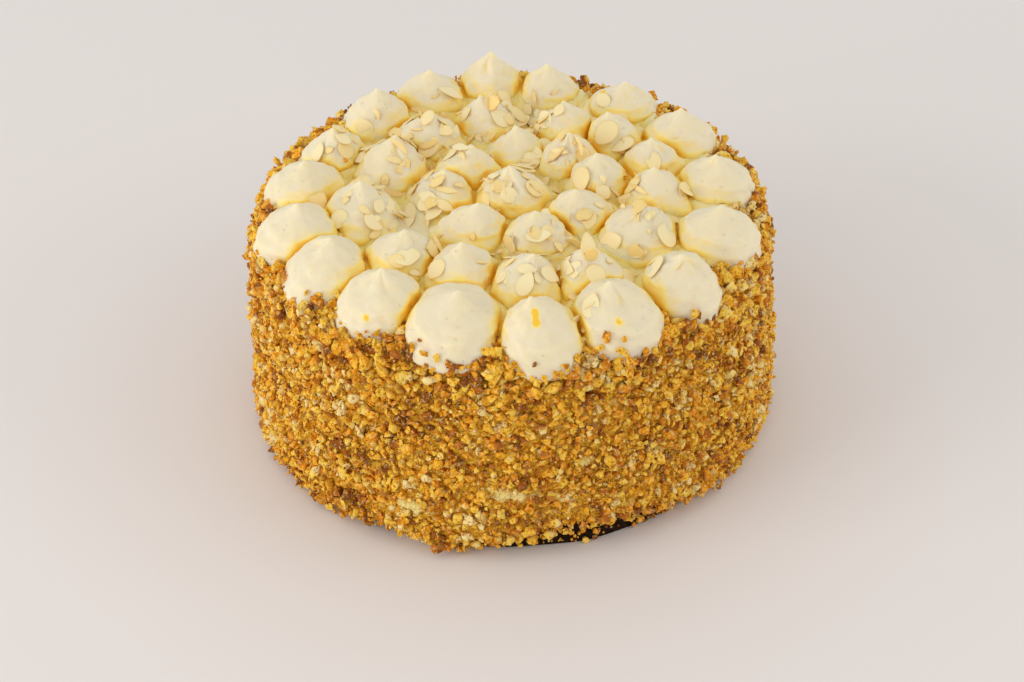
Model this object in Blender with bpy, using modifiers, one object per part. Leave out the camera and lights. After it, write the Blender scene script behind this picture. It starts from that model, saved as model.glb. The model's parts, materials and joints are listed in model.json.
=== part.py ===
"""Walnut torte: a tall round cake in a coat of chopped walnuts, on a dark sponge foot, with
rings of piped cream dollops and flaked almonds on top.

Metres, +Z up.  The origin is under the middle of the cake, at the bottom of its foot.
The cake's front is its -Y side.
"""

import math
import random
from dataclasses import dataclass, field

import bmesh
import bpy
from mathutils import Matrix, Vector

MM = 0.001

# ---- Driving dimensions ----------------------------------------------------------------------
GAP = 0.3 * MM                  # air between pieces that touch
BOTTOM_RADIUS = 109.6 * MM      # the walnut coat, at the level of its small pieces
TOP_RADIUS = 106.0 * MM         # the same where the shoulder starts
TOP_HEIGHT = 95.5 * MM          # the cream top, where the dollops stand
SHOULDER_RADIUS = 8.0 * MM      # the round from the top into the side
FOOT_HEIGHT = 15.0 * MM         # the dark sponge layer that shows under the coat
FOOT_RADIUS = 101.5 * MM
FOOT_BELLY = 0.4 * MM           # how far its side swells out half-way up
SKIRT_INNER_RADIUS = 103.6 * MM     # where the coat hangs past the foot
SKIRT_HEIGHT = 1.8 * MM         # the coat's lower edge, where it nearly reaches the bottom
EDGE_HEIGHT = 8.0 * MM          # the round from the side to that edge: its height
EDGE_DEPTH = 5.0 * MM           # and its depth
LIFT_REACH = 20.0 * MM          # how far above that round the coat follows a raised edge
CAKE_SEGMENTS = 60
FOOT_SEGMENTS = 60

# Where the coat stops short of the bottom and shows the foot: degrees round from +X to the
# middle of each window, half its width in degrees, and how far the coat's edge rises there.
WINDOWS = ((-73, 31, 10.5 * MM), (-118, 13, 2.2 * MM))

# ---- Dollops ---------------------------------------------------------------------------------
DOLLOP_SEGMENTS = 12
NEIGHBOUR_GAP = 3.0 * MM        # dollops further apart than this don't press each other flat
SAG_OUT = 0.04                  # how much wider a dollop is on the side that hangs over the edge

# A dollop's outline, from its base to just under its tip: share of its height, share of its radius.
OUTLINE = ((0.0, 0.92), (0.20, 1.0), (0.45, 0.90), (0.69, 0.56), (0.87, 0.18))
TRIMMED_OUTLINE = ((-0.32, 0.62), (-0.07, 0.88)) + OUTLINE[1:]     # hangs past the cake's edge

# Every dollop, piped by hand in rings: its tip and the middle of its base in plan, its radius, its
# height, and how far it sags over the cake's edge, all in millimetres.
DOLLOPS = (
    ("outer_01", -19.5, -82.3, -22.6, -82.8, 20.0, 19.0, 3.0),
    ("outer_02", 8.3, -89.0, 11.3, -89.5, 16.5, 20.0, 5.0),
    ("outer_03", 38.9, -80.1, 40.2, -79.6, 18.0, 20.3, 3.5),
    ("outer_04", 67.2, -61.9, 66.8, -61.6, 15.3, 20.4, 3.5),
    ("outer_05", 84.4, -29.6, 83.0, -29.0, 16.5, 20.1, 3.0),
    ("outer_06", 85.6, 7.5, 85.4, 8.0, 15.3, 20.0, 3.0),
    ("outer_07", 73.3, 41.4, 71.9, 42.2, 15.2, 20.6, 3.0),
    ("outer_08", 50.3, 67.4, 49.2, 68.2, 14.6, 18.6, 3.0),
    ("outer_09", 16.9, 82.3, 18.5, 83.2, 13.3, 18.7, 3.0),
    ("outer_10", -7.1, 87.1, -7.0, 88.0, 13.5, 22.5, 3.0),
    ("outer_11", -33.6, 79.0, -33.2, 79.9, 14.3, 19.1, 3.0),
    ("outer_12", -55.3, 62.5, -56.0, 63.1, 14.6, 20.2, 3.0),
    ("outer_13", -71.4, 34.6, -73.8, 35.0, 13.6, 19.7, 3.0),
    ("outer_14", -83.9, 10.8, -84.6, 11.0, 16.0, 18.9, 3.0),
    ("outer_15", -84.4, -21.3, -85.8, -21.4, 16.3, 19.3, 3.0),
    ("outer_16", -71.3, -43.7, -73.6, -47.0, 17.2, 18.5, 6.0),
    ("outer_17", -49.5, -67.4, -51.2, -69.8, 16.8, 19.4, 5.5),
    ("second_01", 53.6, -26.9, 52.0, -27.8, 16.4, 18.5, 0.0),
    ("second_02", 58.4, 0.3, 60.6, 0.2, 13.2, 19.0, 0.0),
    ("second_03", 58.5, 22.3, 60.2, 22.6, 13.5, 18.4, 0.0),
    ("second_04", 42.5, 41.8, 44.8, 42.0, 12.8, 19.9, 0.0),
    ("second_05", 24.5, 49.0, 24.2, 49.4, 13.2, 20.6, 0.0),
    ("second_06", -11.5, 56.3, -7.6, 56.4, 13.2, 19.6, 0.0),
    ("second_07", -33.3, 45.0, -33.6, 44.9, 14.5, 19.2, 0.0),
    ("second_08", -46.6, 25.2, -49.0, 25.0, 14.7, 20.3, 0.0),
    ("second_09", -60.3, -8.2, -61.2, -8.2, 15.4, 20.3, 0.0),
    ("second_10", -41.6, -40.8, -43.2, -41.3, 15.2, 18.9, 0.0),
    ("second_11", -18.5, -52.2, -19.2, -52.8, 15.0, 20.6, 0.0),
    ("second_12", 8.0, -59.9, 5.2, -60.4, 14.8, 20.2, 0.0),
    ("second_13", 29.8, -56.5, 31.2, -56.4, 14.2, 20.5, 0.0),
    ("inner_01", -12.6, -23.0, -14.6, -21.8, 13.7, 19.1, 0.0),
    ("inner_02", 10.1, -29.6, 11.0, -28.2, 14.0, 18.5, 0.0),
    ("inner_03", 25.8, -14.3, 29.4, -13.2, 14.4, 18.8, 0.0),
    ("inner_04", 36.4, 10.9, 37.4, 11.0, 13.4, 19.5, 0.0),
    ("inner_05", 25.1, 26.2, 25.6, 26.1, 13.2, 20.3, 0.0),
    ("inner_06", 4.0, 33.1, 4.2, 33.6, 12.7, 18.8, 0.0),
    ("inner_07", -16.2, 18.0, -17.3, 18.4, 13.1, 20.0, 0.0),
    ("inner_08", -25.4, 2.1, -27.8, 2.2, 13.3, 19.2, 0.0),
    ("middle_01", 1.0, 0.0, 1.6, 1.6, 15.2, 20.6, 0.0),
)

# ---- Walnuts ---------------------------------------------------------------------------------
RIM_NUTS = 38                   # coarse ones round the shoulder, besides SHOULDER_NUTS
WALL_NUTS = 106
RIM_NUT_SIZE = (5.5 * MM, 10.0 * MM)
WALL_NUT_SIZE = (4.5 * MM, 6.5 * MM)
RIM_NUT_LIFT = (5.0, 85.0)      # degrees up the shoulder
LOWEST_NUT = 3.6 * MM           # how low a nut's middle may be, so that none reaches the bottom
NUT_SUNK = 0.10                 # how far a nut's middle lies under the coat, as a share of its size
NUT_TRIES = 24                  # places tried for each nut, the emptiest of which it takes
NUT_ROOM = 0.55                 # the least room round a nut's middle, as a share of its size
NUT_CLEARANCE = 0.4 * MM        # to the cream dollops
SLIDE_STEP = 4                  # degrees that a nut slides down the shoulder to clear the cream

# The pieces that stand out, each with its degrees round from +X and its size in millimetres.
# On the shoulder the middle number is degrees up it, and on the side it is the height in mm.
SHOULDER_NUTS = (
    (-94, 60, 14.0), (-76, 56, 7.5), (-66, 28, 8.5), (-61, 64, 7.0), (-52, 60, 10.0),
    (-46, 44, 7.5), (6, 20, 8.0), (29, 40, 8.5), (35, 56, 8.0), (51, 56, 9.5), (69, 68, 8.5),
    (77, 56, 8.0), (87, 56, 8.0), (103, 60, 7.5), (118, 60, 9.0), (138, 44, 7.5), (150, 44, 8.0),
    (164, 32, 8.0), (-144, 48, 8.0), (-126, 32, 8.5))
SIDE_NUTS = ((-88, 14, 7.5), (-52, 12, 7.0), (-69, 80, 7.5), (-98, 76, 7.0))

# ---- Flaked almonds --------------------------------------------------------------------------
FLAKE_LENGTH = (8.0 * MM, 12.0 * MM)
FLAKE_THICKNESS = 0.9 * MM
FLAKE_SEGMENTS = 8
FLAKE_MARGIN = 0.2 * MM         # to the flat that its dollop shares with a neighbour
FLAKE_WIDTH = (0.60, 0.85)      # as a share of its length
FLAKE_ROCK = 0.25               # radians it may lean away from the cream under it
FLAKE_TRIES = (1.0, 0.85, 0.70)     # share of its size that it is cut to where it doesn't fit

# Where flakes lie on the dollops: degrees round the dollop from +X, and share of its height.
FLAKES = {
    "outer_03": ((215, 0.67),),
    "outer_04": ((170, 0.60),),
    "outer_08": ((205, 0.62),),
    "outer_12": ((250, 0.41),),
    "outer_13": ((225, 0.60), (305, 0.62)),
    "outer_14": ((295, 0.45),),
    "second_01": ((215, 0.42), (320, 0.55)),
    "second_02": ((190, 0.62), (345, 0.45)),
    "second_03": ((275, 0.68),),
    "second_04": ((250, 0.68), (310, 0.48)),
    "second_05": ((190, 0.62),),
    "second_06": ((190, 0.60), (25, 0.53), (315, 0.62)),
    "second_07": ((270, 0.49), (350, 0.58), (140, 0.62)),
    "second_08": ((295, 0.62),),
    "second_09": ((350, 0.52), (300, 0.45), (235, 0.47)),
    "second_10": ((0, 0.59), (255, 0.61)),
    "second_11": ((205, 0.55),),
    "second_12": ((205, 0.59), (265, 0.62), (335, 0.62)),
    "second_13": ((225, 0.66), (290, 0.62)),
    "inner_02": ((300, 0.66), (215, 0.40)),
    "inner_03": ((290, 0.55),),
    "inner_04": ((275, 0.45), (225, 0.57)),
    "inner_05": ((310, 0.62),),
    "inner_06": ((290, 0.45),),
    "inner_07": ((150, 0.59),),
    "inner_08": ((140, 0.62),),
    "middle_01": ((220, 0.47), (265, 0.62), (330, 0.60)),
}

SEED = 31


@dataclass
class Dollop:
    """A piped dollop: its tip and the middle of its base in plan, and its size."""
    name: str
    ring: str
    tip: Vector
    base: Vector
    height: float
    radius: float
    sag: float
    walls: list = field(default_factory=list)       # (direction, distance) of the flats


@dataclass
class Nut:
    """A coarse piece of walnut: its place on the coat, the way out from there, and its size."""
    place: Vector
    out: Vector
    size: float
    spin: float


@dataclass
class Flake:
    """A flake of almond on a dollop: its place, the way its flat side faces, and its size."""
    place: Vector
    normal: Vector
    length: float
    width: float
    spin: float
    rock: float


# ---- Scene helpers ---------------------------------------------------------------------------
def clear_scene():
    for old in list(bpy.data.objects):
        bpy.data.objects.remove(old, do_unlink=True)


def new_collection(name):
    collection = bpy.data.collections.new(name)
    bpy.context.scene.collection.children.link(collection)
    return collection


def material(name, colour, roughness):
    made = bpy.data.materials.new(name)
    made.use_nodes = True
    shader = made.node_tree.nodes["Principled BSDF"]
    shader.inputs["Base Color"].default_value = (*colour, 1.0)
    shader.inputs["Roughness"].default_value = roughness
    shader.inputs["Metallic"].default_value = 0.0
    return made


def nut_material():
    return material("toasted_walnut", (0.52, 0.30, 0.09), 0.6)


def sponge_material():
    return material("dark_sponge", (0.035, 0.022, 0.014), 0.9)


def cream_material():
    return material("butter_cream", (0.86, 0.78, 0.56), 0.5)


def object_from_bmesh(name, shape, collection, finish=None):
    mesh = bpy.data.meshes.new(name)
    bmesh.ops.recalc_face_normals(shape, faces=shape.faces)
    shape.to_mesh(mesh)
    shape.free()
    made = bpy.data.objects.new(name, mesh)
    if finish:
        mesh.materials.append(finish)
    collection.objects.link(made)
    return made


def turned(name, outline, segments, collection, finish=None):
    """A solid of revolution: outline runs from the axis, down the outer side, back to the axis."""
    mesh = bpy.data.meshes.new(name + "_outline")
    points = [(radius, 0.0, height) for radius, height in outline]
    mesh.from_pydata(points, [(i, i + 1) for i in range(len(points) - 1)], [])
    made = bpy.data.objects.new(name, mesh)
    collection.objects.link(made)
    screw = made.modifiers.new("turn", "SCREW")
    screw.axis = "Z"
    screw.steps = segments
    screw.render_steps = segments
    screw.use_merge_vertices = True
    screw.merge_threshold = 0.00001
    apply_modifiers(made)
    if finish:
        made.data.materials.append(finish)
    return made


def apply_modifiers(thing):
    """Keeps a thing's shape as its modifiers leave it, and drops them."""
    bpy.context.view_layer.update()
    graph = bpy.context.evaluated_depsgraph_get()
    mesh = bpy.data.meshes.new_from_object(thing.evaluated_get(graph))
    mesh.name = thing.name
    thing.modifiers.clear()
    thing.data = mesh


def split_into_triangles(thing):
    """Gives a thing flat faces only, so that a Boolean and what follows it read the same shape."""
    shape = bmesh.new()
    shape.from_mesh(thing.data)
    bmesh.ops.triangulate(shape, faces=shape.faces)
    shape.to_mesh(thing.data)
    shape.free()


def boolean(thing, operation, other):
    """Adds a cut by an object, or a union with a whole collection."""
    modifier = thing.modifiers.new(operation.lower(), "BOOLEAN")
    modifier.operation = operation
    modifier.solver = "EXACT"
    if isinstance(other, bpy.types.Collection):
        modifier.operand_type = "COLLECTION"
        modifier.collection = other
    else:
        modifier.object = other
    return modifier


def fuse(thing, pieces):
    """Fuses a collection's pieces to a thing in one union, and removes them."""
    if pieces.objects:
        split_into_triangles(thing)
        boolean(thing, "UNION", pieces)
        apply_modifiers(thing)
        split_into_triangles(thing)
        drop_loose_scraps(thing)
    for piece in list(pieces.objects):
        bpy.data.objects.remove(piece, do_unlink=True)
    bpy.data.collections.remove(pieces)


def drop_loose_scraps(thing):
    """Keeps only the largest shell of a thing, so sealed hollows and loose bits are gone."""
    shape = bmesh.new()
    shape.from_mesh(thing.data)
    unseen = set(shape.verts)
    shells = []
    while unseen:
        start = unseen.pop()
        shell = {start}
        edge_of_shell = [start]
        while edge_of_shell:
            vert = edge_of_shell.pop()
            for edge in vert.link_edges:
                other = edge.other_vert(vert)
                if other in unseen:
                    unseen.remove(other)
                    shell.add(other)
                    edge_of_shell.append(other)
        shells.append(shell)
    shells.sort(key=len, reverse=True)
    loose = [vert for shell in shells[1:] for vert in shell]
    bmesh.ops.delete(shape, geom=loose, context="VERTS")
    shape.to_mesh(thing.data)
    shape.free()


# ---- The cake --------------------------------------------------------------------------------
def wall_radius(height):
    """The side leans in a little towards the top, more and more as it rises."""
    share = min(1.0, height / (TOP_HEIGHT - SHOULDER_RADIUS))
    return TOP_RADIUS + (BOTTOM_RADIUS - TOP_RADIUS) * (1.0 - share * share)


def edge_inset(share):
    """How far the coat has turned in, a share of the way down its round lower edge."""
    return EDGE_DEPTH * (1.0 - math.sqrt(1.0 - share * share))


def cake_outline(swell=0.0):
    """The coated cake's outline, top to bottom, grown by swell on every side."""
    flat_radius = TOP_RADIUS - SHOULDER_RADIUS
    shoulder_middle = TOP_HEIGHT - SHOULDER_RADIUS
    reach = SHOULDER_RADIUS + swell
    points = [(0.0, TOP_HEIGHT + swell)]
    for degrees in (90, 60, 32, 0):
        turn = math.radians(degrees)
        points.append((flat_radius + reach * math.cos(turn), shoulder_middle + reach * math.sin(turn)))
    for share in (0.72, 0.46, 0.20):
        points.append((wall_radius(share * TOP_HEIGHT) + swell, share * TOP_HEIGHT))
    for share in (0.0, 0.6, 0.9):
        points.append((BOTTOM_RADIUS - edge_inset(share) + swell,
                       SKIRT_HEIGHT + (1.0 - share) * EDGE_HEIGHT))
    points.append((BOTTOM_RADIUS - EDGE_DEPTH, SKIRT_HEIGHT - swell))
    points.append((SKIRT_INNER_RADIUS, SKIRT_HEIGHT - swell))
    points.append((SKIRT_INNER_RADIUS - GAP, FOOT_HEIGHT + GAP))
    points.append((0.0, FOOT_HEIGHT + GAP))
    return points


def spread_by_hand(turn, height):
    """How far the palette knife left the side proud of a true cylinder."""
    broad = 0.45 * MM * math.sin(3.0 * turn + 0.6 + 22.0 * height)
    fine = 0.30 * MM * math.sin(7.0 * turn + 2.0 - 55.0 * height)
    return broad + fine


def skirt_rise(turn):
    """How much higher than SKIRT_HEIGHT the coat's lower edge is, on one side of the cake."""
    rise = 0.4 * MM * math.sin(9.0 * turn + 1.0)
    for degrees, half_width, lift in WINDOWS:
        away = abs((math.degrees(turn) - degrees + 180.0) % 360.0 - 180.0) / half_width
        if away < 1.0:
            rise += lift * math.cos(0.5 * math.pi * away) ** 0.8
    return rise


def make_uneven(cake):
    """Moves a turned cake's side and lower edge the way they were spread by hand."""
    for vert in cake.data.vertices:
        x, y, z = vert.co
        out = math.hypot(x, y)
        if out < 0.9 * SKIRT_INNER_RADIUS:
            continue
        turn = math.atan2(y, x)
        if out > SKIRT_INNER_RADIUS + 0.1 * MM:
            share = 1.0 + spread_by_hand(turn, z) / out
            vert.co.x = x * share
            vert.co.y = y * share
        low = max(0.0, 1.0 - max(0.0, z - SKIRT_HEIGHT - EDGE_HEIGHT) / LIFT_REACH)
        if z < FOOT_HEIGHT and out > SKIRT_INNER_RADIUS - 0.1 * MM or z > FOOT_HEIGHT + 2.0 * GAP:
            vert.co.z = z + skirt_rise(turn) * low
    split_into_triangles(cake)


def make_cake(parts, dollops):
    cake = turned("cake_body", cake_outline(), CAKE_SEGMENTS, parts, nut_material())
    make_uneven(cake)
    rng = random.Random(SEED)
    pieces = new_collection("nuts")
    for nut in lay_out_nuts(dollops):
        shape = nut_shape(rng, nut.size)
        shape.transform(standing(nut))
        object_from_bmesh("nut", shape, pieces)
    fuse(cake, pieces)
    return cake


def on_shoulder(turn, lift):
    """A point of the cake's shoulder, and the way out from it."""
    out = TOP_RADIUS - SHOULDER_RADIUS + SHOULDER_RADIUS * math.cos(lift)
    height = TOP_HEIGHT - SHOULDER_RADIUS + SHOULDER_RADIUS * math.sin(lift)
    out += spread_by_hand(turn, height) * math.cos(lift)
    ray = Vector((math.cos(turn), math.sin(turn), 0.0))
    up = Vector((0.0, 0.0, 1.0))
    return ray * out + up * height, (ray * math.cos(lift) + up * math.sin(lift)).normalized()


def on_side(turn, height):
    """A point of the cake's side or of its round lower edge, and the way out from it."""
    edge = SKIRT_HEIGHT + skirt_rise(turn)
    share = max(0.0, 1.0 - (height - edge) / EDGE_HEIGHT)
    out = wall_radius(height) + spread_by_hand(turn, height) - edge_inset(share)
    ray = Vector((math.cos(turn), math.sin(turn), 0.0))
    up = Vector((0.0, 0.0, 1.0))
    return ray * out + up * height, (ray - up * share).normalized()


def anywhere_on_shoulder(rng):
    turn = rng.uniform(0.0, math.tau)
    return on_shoulder(turn, math.radians(rng.uniform(*RIM_NUT_LIFT)))


def anywhere_on_side(rng):
    turn = rng.uniform(0.0, math.tau)
    lowest = max(SKIRT_HEIGHT + skirt_rise(turn) + 1.0 * MM, LOWEST_NUT)
    return on_side(turn, rng.uniform(lowest, TOP_HEIGHT - SHOULDER_RADIUS))


def lay_out_nuts(dollops):
    """Every coarse walnut: first the ones that stand out, then the rest, spread evenly."""
    rng = random.Random(SEED + 3)
    nuts = []
    for degrees, lift, size in SHOULDER_NUTS:
        for slide in range(0, lift, SLIDE_STEP):
            place, out = on_shoulder(math.radians(degrees), math.radians(lift - slide))
            if clear_of_cream(dollops, place, size * MM):
                break
        nuts.append(Nut(place, out, size * MM, rng.uniform(0.0, math.tau)))
    for degrees, height, size in SIDE_NUTS:
        place, out = on_side(math.radians(degrees), height * MM)
        nuts.append(Nut(place, out, size * MM, rng.uniform(0.0, math.tau)))
    for count, limits, pick_place in ((RIM_NUTS, RIM_NUT_SIZE, anywhere_on_shoulder),
                                      (WALL_NUTS, WALL_NUT_SIZE, anywhere_on_side)):
        for size in nut_sizes(rng, count, limits):
            add_nut(rng, nuts, dollops, size, pick_place)
    return nuts


def nut_sizes(rng, count, limits):
    """Largest first; most are near the small end."""
    least, most = limits
    return sorted((least + (most - least) * rng.random() ** 2 for _ in range(count)), reverse=True)


def clear_of_cream(dollops, place, size):
    return not any(in_the_way(dollop, place, 0.5 * size + NUT_CLEARANCE) for dollop in dollops)


def add_nut(rng, nuts, dollops, size, pick_place):
    """Puts a piece of walnut in the emptiest of a few places that are clear of the cream."""
    best = None
    for _ in range(NUT_TRIES):
        place, out = pick_place(rng)
        if not clear_of_cream(dollops, place, size):
            continue
        room = min((place - other.place).length - 0.5 * other.size for other in nuts)
        if best is None or room > best[0]:
            best = (room, place, out)
    spin = rng.uniform(0.0, math.tau)
    if best and best[0] > NUT_ROOM * size:
        nuts.append(Nut(best[1], best[2], size, spin))


def standing(nut):
    """Turns a nut's shape so that it lies on the coat, pressed in a little."""
    tilt = nut.out.to_track_quat("Z", "X").to_matrix().to_4x4()
    middle = nut.place - nut.out * NUT_SUNK * nut.size
    return Matrix.Translation(middle) @ tilt @ Matrix.Rotation(nut.spin, 4, "Z")


def nut_shape(rng, size):
    """A chopped piece of walnut: a lopsided block, flatter than it is long, lying on its side."""
    nut = bmesh.new()
    bmesh.ops.create_cube(nut, size=2.0)
    half = Vector((0.42, rng.uniform(0.30, 0.38), rng.uniform(0.26, 0.32))) * size
    for vert in nut.verts:
        vert.co = Vector([vert.co[i] * half[i] * rng.uniform(0.72, 1.10) for i in range(3)])
    bmesh.ops.triangulate(nut, faces=nut.faces)
    return nut


def make_foot(parts):
    """The lowest sponge layer, which runs right through under the cake."""
    outline = ((0.0, FOOT_HEIGHT), (FOOT_RADIUS - FOOT_BELLY, FOOT_HEIGHT),
               (FOOT_RADIUS + FOOT_BELLY, 0.5 * FOOT_HEIGHT), (FOOT_RADIUS - FOOT_BELLY, 0.0),
               (0.0, 0.0))
    foot = turned("sponge_base", outline, FOOT_SEGMENTS, parts, sponge_material())
    for vert in foot.data.vertices:
        turn = math.atan2(vert.co.y, vert.co.x)
        ragged = 0.35 * MM * math.sin(9.0 * turn + 300.0 * vert.co.z)
        ragged += 0.25 * MM * math.sin(19.0 * turn + 1.0)
        out = math.hypot(vert.co.x, vert.co.y)
        if out > 0.5 * FOOT_RADIUS:
            vert.co.x *= 1.0 + ragged / out
            vert.co.y *= 1.0 + ragged / out
    return foot


# ---- The cream -------------------------------------------------------------------------------
def lay_out_dollops():
    """Every dollop on the cake's top, with the flats where it meets its neighbours."""
    dollops = []
    for name, tip_x, tip_y, base_x, base_y, radius, height, sag in DOLLOPS:
        tip = Vector((tip_x, tip_y, 0.0)) * MM
        base = Vector((base_x, base_y, 0.0)) * MM
        ring = name.split("_")[0]
        dollops.append(Dollop("dollop_" + name, ring, tip, base, height * MM, radius * MM, sag * MM))
    for dollop in dollops:
        dollop.walls = flats(dollop, dollops)
    return dollops


def flats(dollop, dollops):
    """Where the neighbours stop a dollop: the way to each, and how far its flat is."""
    walls = []
    for other in dollops:
        way = other.base - dollop.base
        if other is dollop or way.length > dollop.radius + other.radius + NEIGHBOUR_GAP:
            continue
        split = (way.length ** 2 + dollop.radius ** 2 - other.radius ** 2) / (2.0 * way.length)
        walls.append((way.normalized(), split - 0.55 * GAP))
    return walls


def skin_point(dollop, share_up, share_out, turn):
    """A point of a dollop's skin, squashed against its neighbours and sagging off the edge."""
    ray = Vector((math.cos(turn), math.sin(turn), 0.0))
    lean = (dollop.tip - dollop.base) * max(0.0, share_up) ** 1.5
    out = share_out * dollop.radius
    sag = 0.0
    if dollop.ring == "outer":
        over_the_edge = max(0.0, ray.dot(dollop.base.normalized())) * (1.0 - max(0.0, share_up))
        out *= 1.0 + SAG_OUT * over_the_edge
        sag = dollop.sag * over_the_edge
    point = lean + ray * out
    for way, distance in dollop.walls:
        reach = point.dot(way)
        if reach > distance:
            point = point * (distance / reach)
    height = TOP_HEIGHT + GAP + share_up * dollop.height - sag
    return dollop.base + point + Vector((0.0, 0.0, height))


def in_the_way(dollop, place, reach):
    """Whether a dollop comes closer than reach to a place."""
    away = Vector((place.x - dollop.base.x, place.y - dollop.base.y, 0.0))
    if away.length > dollop.radius * (1.0 + SAG_OUT) + reach:
        return False
    turn = math.atan2(away.y, away.x)
    rows = TRIMMED_OUTLINE + ((1.0, 0.0),)
    for (up, out), (next_up, next_out) in zip(rows, rows[1:]):
        for step in (0.0, 0.5):
            point = skin_point(dollop, up + step * (next_up - up), out + step * (next_out - out), turn)
            if (point - place).length < reach:
                return True
            level = abs(point.z - place.z) < 2.0 * MM
            if level and Vector((point.x - dollop.base.x, point.y - dollop.base.y)).length > away.length:
                return True
    return False


def make_dollop(dollop, parts, cream, cake_cutter):
    trimmed = dollop.ring == "outer"
    rows = TRIMMED_OUTLINE if trimmed else OUTLINE
    shape = bmesh.new()
    rings = []
    for share_up, share_out in rows:
        ring = []
        for step in range(DOLLOP_SEGMENTS):
            turn = math.tau * step / DOLLOP_SEGMENTS
            ring.append(shape.verts.new(skin_point(dollop, share_up, share_out, turn)))
        rings.append(ring)
    tip = shape.verts.new(skin_point(dollop, 1.0, 0.0, 0.0))
    for lower, upper in zip(rings, rings[1:]):
        for i in range(DOLLOP_SEGMENTS):
            j = (i + 1) % DOLLOP_SEGMENTS
            shape.faces.new((lower[i], lower[j], upper[j], upper[i]))
    for i in range(DOLLOP_SEGMENTS):
        shape.faces.new((rings[-1][i], rings[-1][(i + 1) % DOLLOP_SEGMENTS], tip))
    shape.faces.new(list(reversed(rings[0])))
    made = object_from_bmesh(dollop.name, shape, parts, cream)
    if trimmed:
        boolean(made, "DIFFERENCE", cake_cutter)
        apply_modifiers(made)
    return made


# ---- The almonds -----------------------------------------------------------------------------
def lay_out_flakes(dollop):
    """The flakes on one dollop, each flat on its skin but for a slight rock."""
    rng = random.Random(dollop.name)
    made = []
    for degrees, share_up in FLAKES.get(dollop.name.removeprefix("dollop_"), ()):
        turn = math.radians(degrees)
        place = skin_point(dollop, share_up, share_out_at(share_up), turn)
        above = skin_point(dollop, share_up + 0.03, share_out_at(share_up + 0.03), turn)
        beside = skin_point(dollop, share_up, share_out_at(share_up), turn + 0.1)
        normal = (beside - place).cross(above - place).normalized()
        length = rng.uniform(*FLAKE_LENGTH)
        made.append(Flake(place, normal, length, length * rng.uniform(*FLAKE_WIDTH),
                          rng.uniform(0.0, math.tau), rng.uniform(-FLAKE_ROCK, FLAKE_ROCK)))
    return made


def share_out_at(share_up):
    """How far out a dollop's skin is at a share of its height."""
    rows = OUTLINE + ((1.0, 0.0),)
    for (up, out), (next_up, next_out) in zip(rows, rows[1:]):
        if share_up <= next_up:
            return out + (share_up - up) / (next_up - up) * (next_out - out)
    return 0.0


def lying(flake):
    """Turns a flake's shape so that it lies where it should."""
    tilt = flake.normal.to_track_quat("Z", "X").to_matrix().to_4x4()
    turned_flat = Matrix.Rotation(flake.rock, 4, "X") @ Matrix.Rotation(flake.spin, 4, "Z")
    return Matrix.Translation(flake.place) @ tilt @ turned_flat


def flake_shape(length, width):
    """A thin oval slice of almond, with its flat side up."""
    shape = bmesh.new()
    bmesh.ops.create_cone(shape, cap_ends=True, segments=FLAKE_SEGMENTS, radius1=1.0, radius2=1.0,
                          depth=FLAKE_THICKNESS)
    bmesh.ops.scale(shape, vec=(0.5 * length, 0.5 * width, 1.0), verts=shape.verts)
    return shape


def stays_in(dollop, shape):
    """Whether a flake keeps clear of the flats that its dollop shares with its neighbours."""
    return all((vert.co - dollop.base).dot(way) <= distance - FLAKE_MARGIN
               for vert in shape.verts for way, distance in dollop.walls)


def add_flakes(dollop, made):
    """Fuses its flakes to a dollop, each cut shorter where it would reach a neighbour."""
    pieces = new_collection("flakes_" + dollop.name)
    for flake in lay_out_flakes(dollop):
        for share in FLAKE_TRIES:
            shape = flake_shape(flake.length * share, flake.width * share)
            shape.transform(lying(flake))
            if stays_in(dollop, shape):
                object_from_bmesh("flake", shape, pieces)
                break
            shape.free()
    fuse(made, pieces)


def shade(parts):
    for piece in parts.objects:
        piece.data.shade_smooth()
        piece.data.set_sharp_from_angle(angle=math.radians(35.0))


def main():
    clear_scene()
    parts = new_collection("walnut_torte")
    cutters = new_collection("cutters")
    dollops = lay_out_dollops()
    make_foot(parts)
    make_cake(parts, dollops)
    cake_cutter = turned("cake_with_gap", cake_outline(swell=GAP), CAKE_SEGMENTS, cutters)
    make_uneven(cake_cutter)
    cake_cutter.hide_render = True
    cake_cutter.display_type = "WIRE"
    cream = cream_material()
    for dollop in dollops:
        made = make_dollop(dollop, parts, cream, cake_cutter)
        add_flakes(dollop, made)
    shade(parts)


main()
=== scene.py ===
"""Walnut torte, dressed: the cream, chopped walnuts, flaked almonds and dark sponge of the cake.

Laid out as an add-on: settings, one operator for each kind of piece, and a panel that lists them.
Metres, +Z up, in the same frame as the solids.  The cake's front is its -Y side.
"""

import json
import math
import random
from dataclasses import dataclass, field

import bmesh
import bpy
from mathutils import Matrix, Quaternion, Vector, noise
from mathutils.bvhtree import BVHTree

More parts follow.
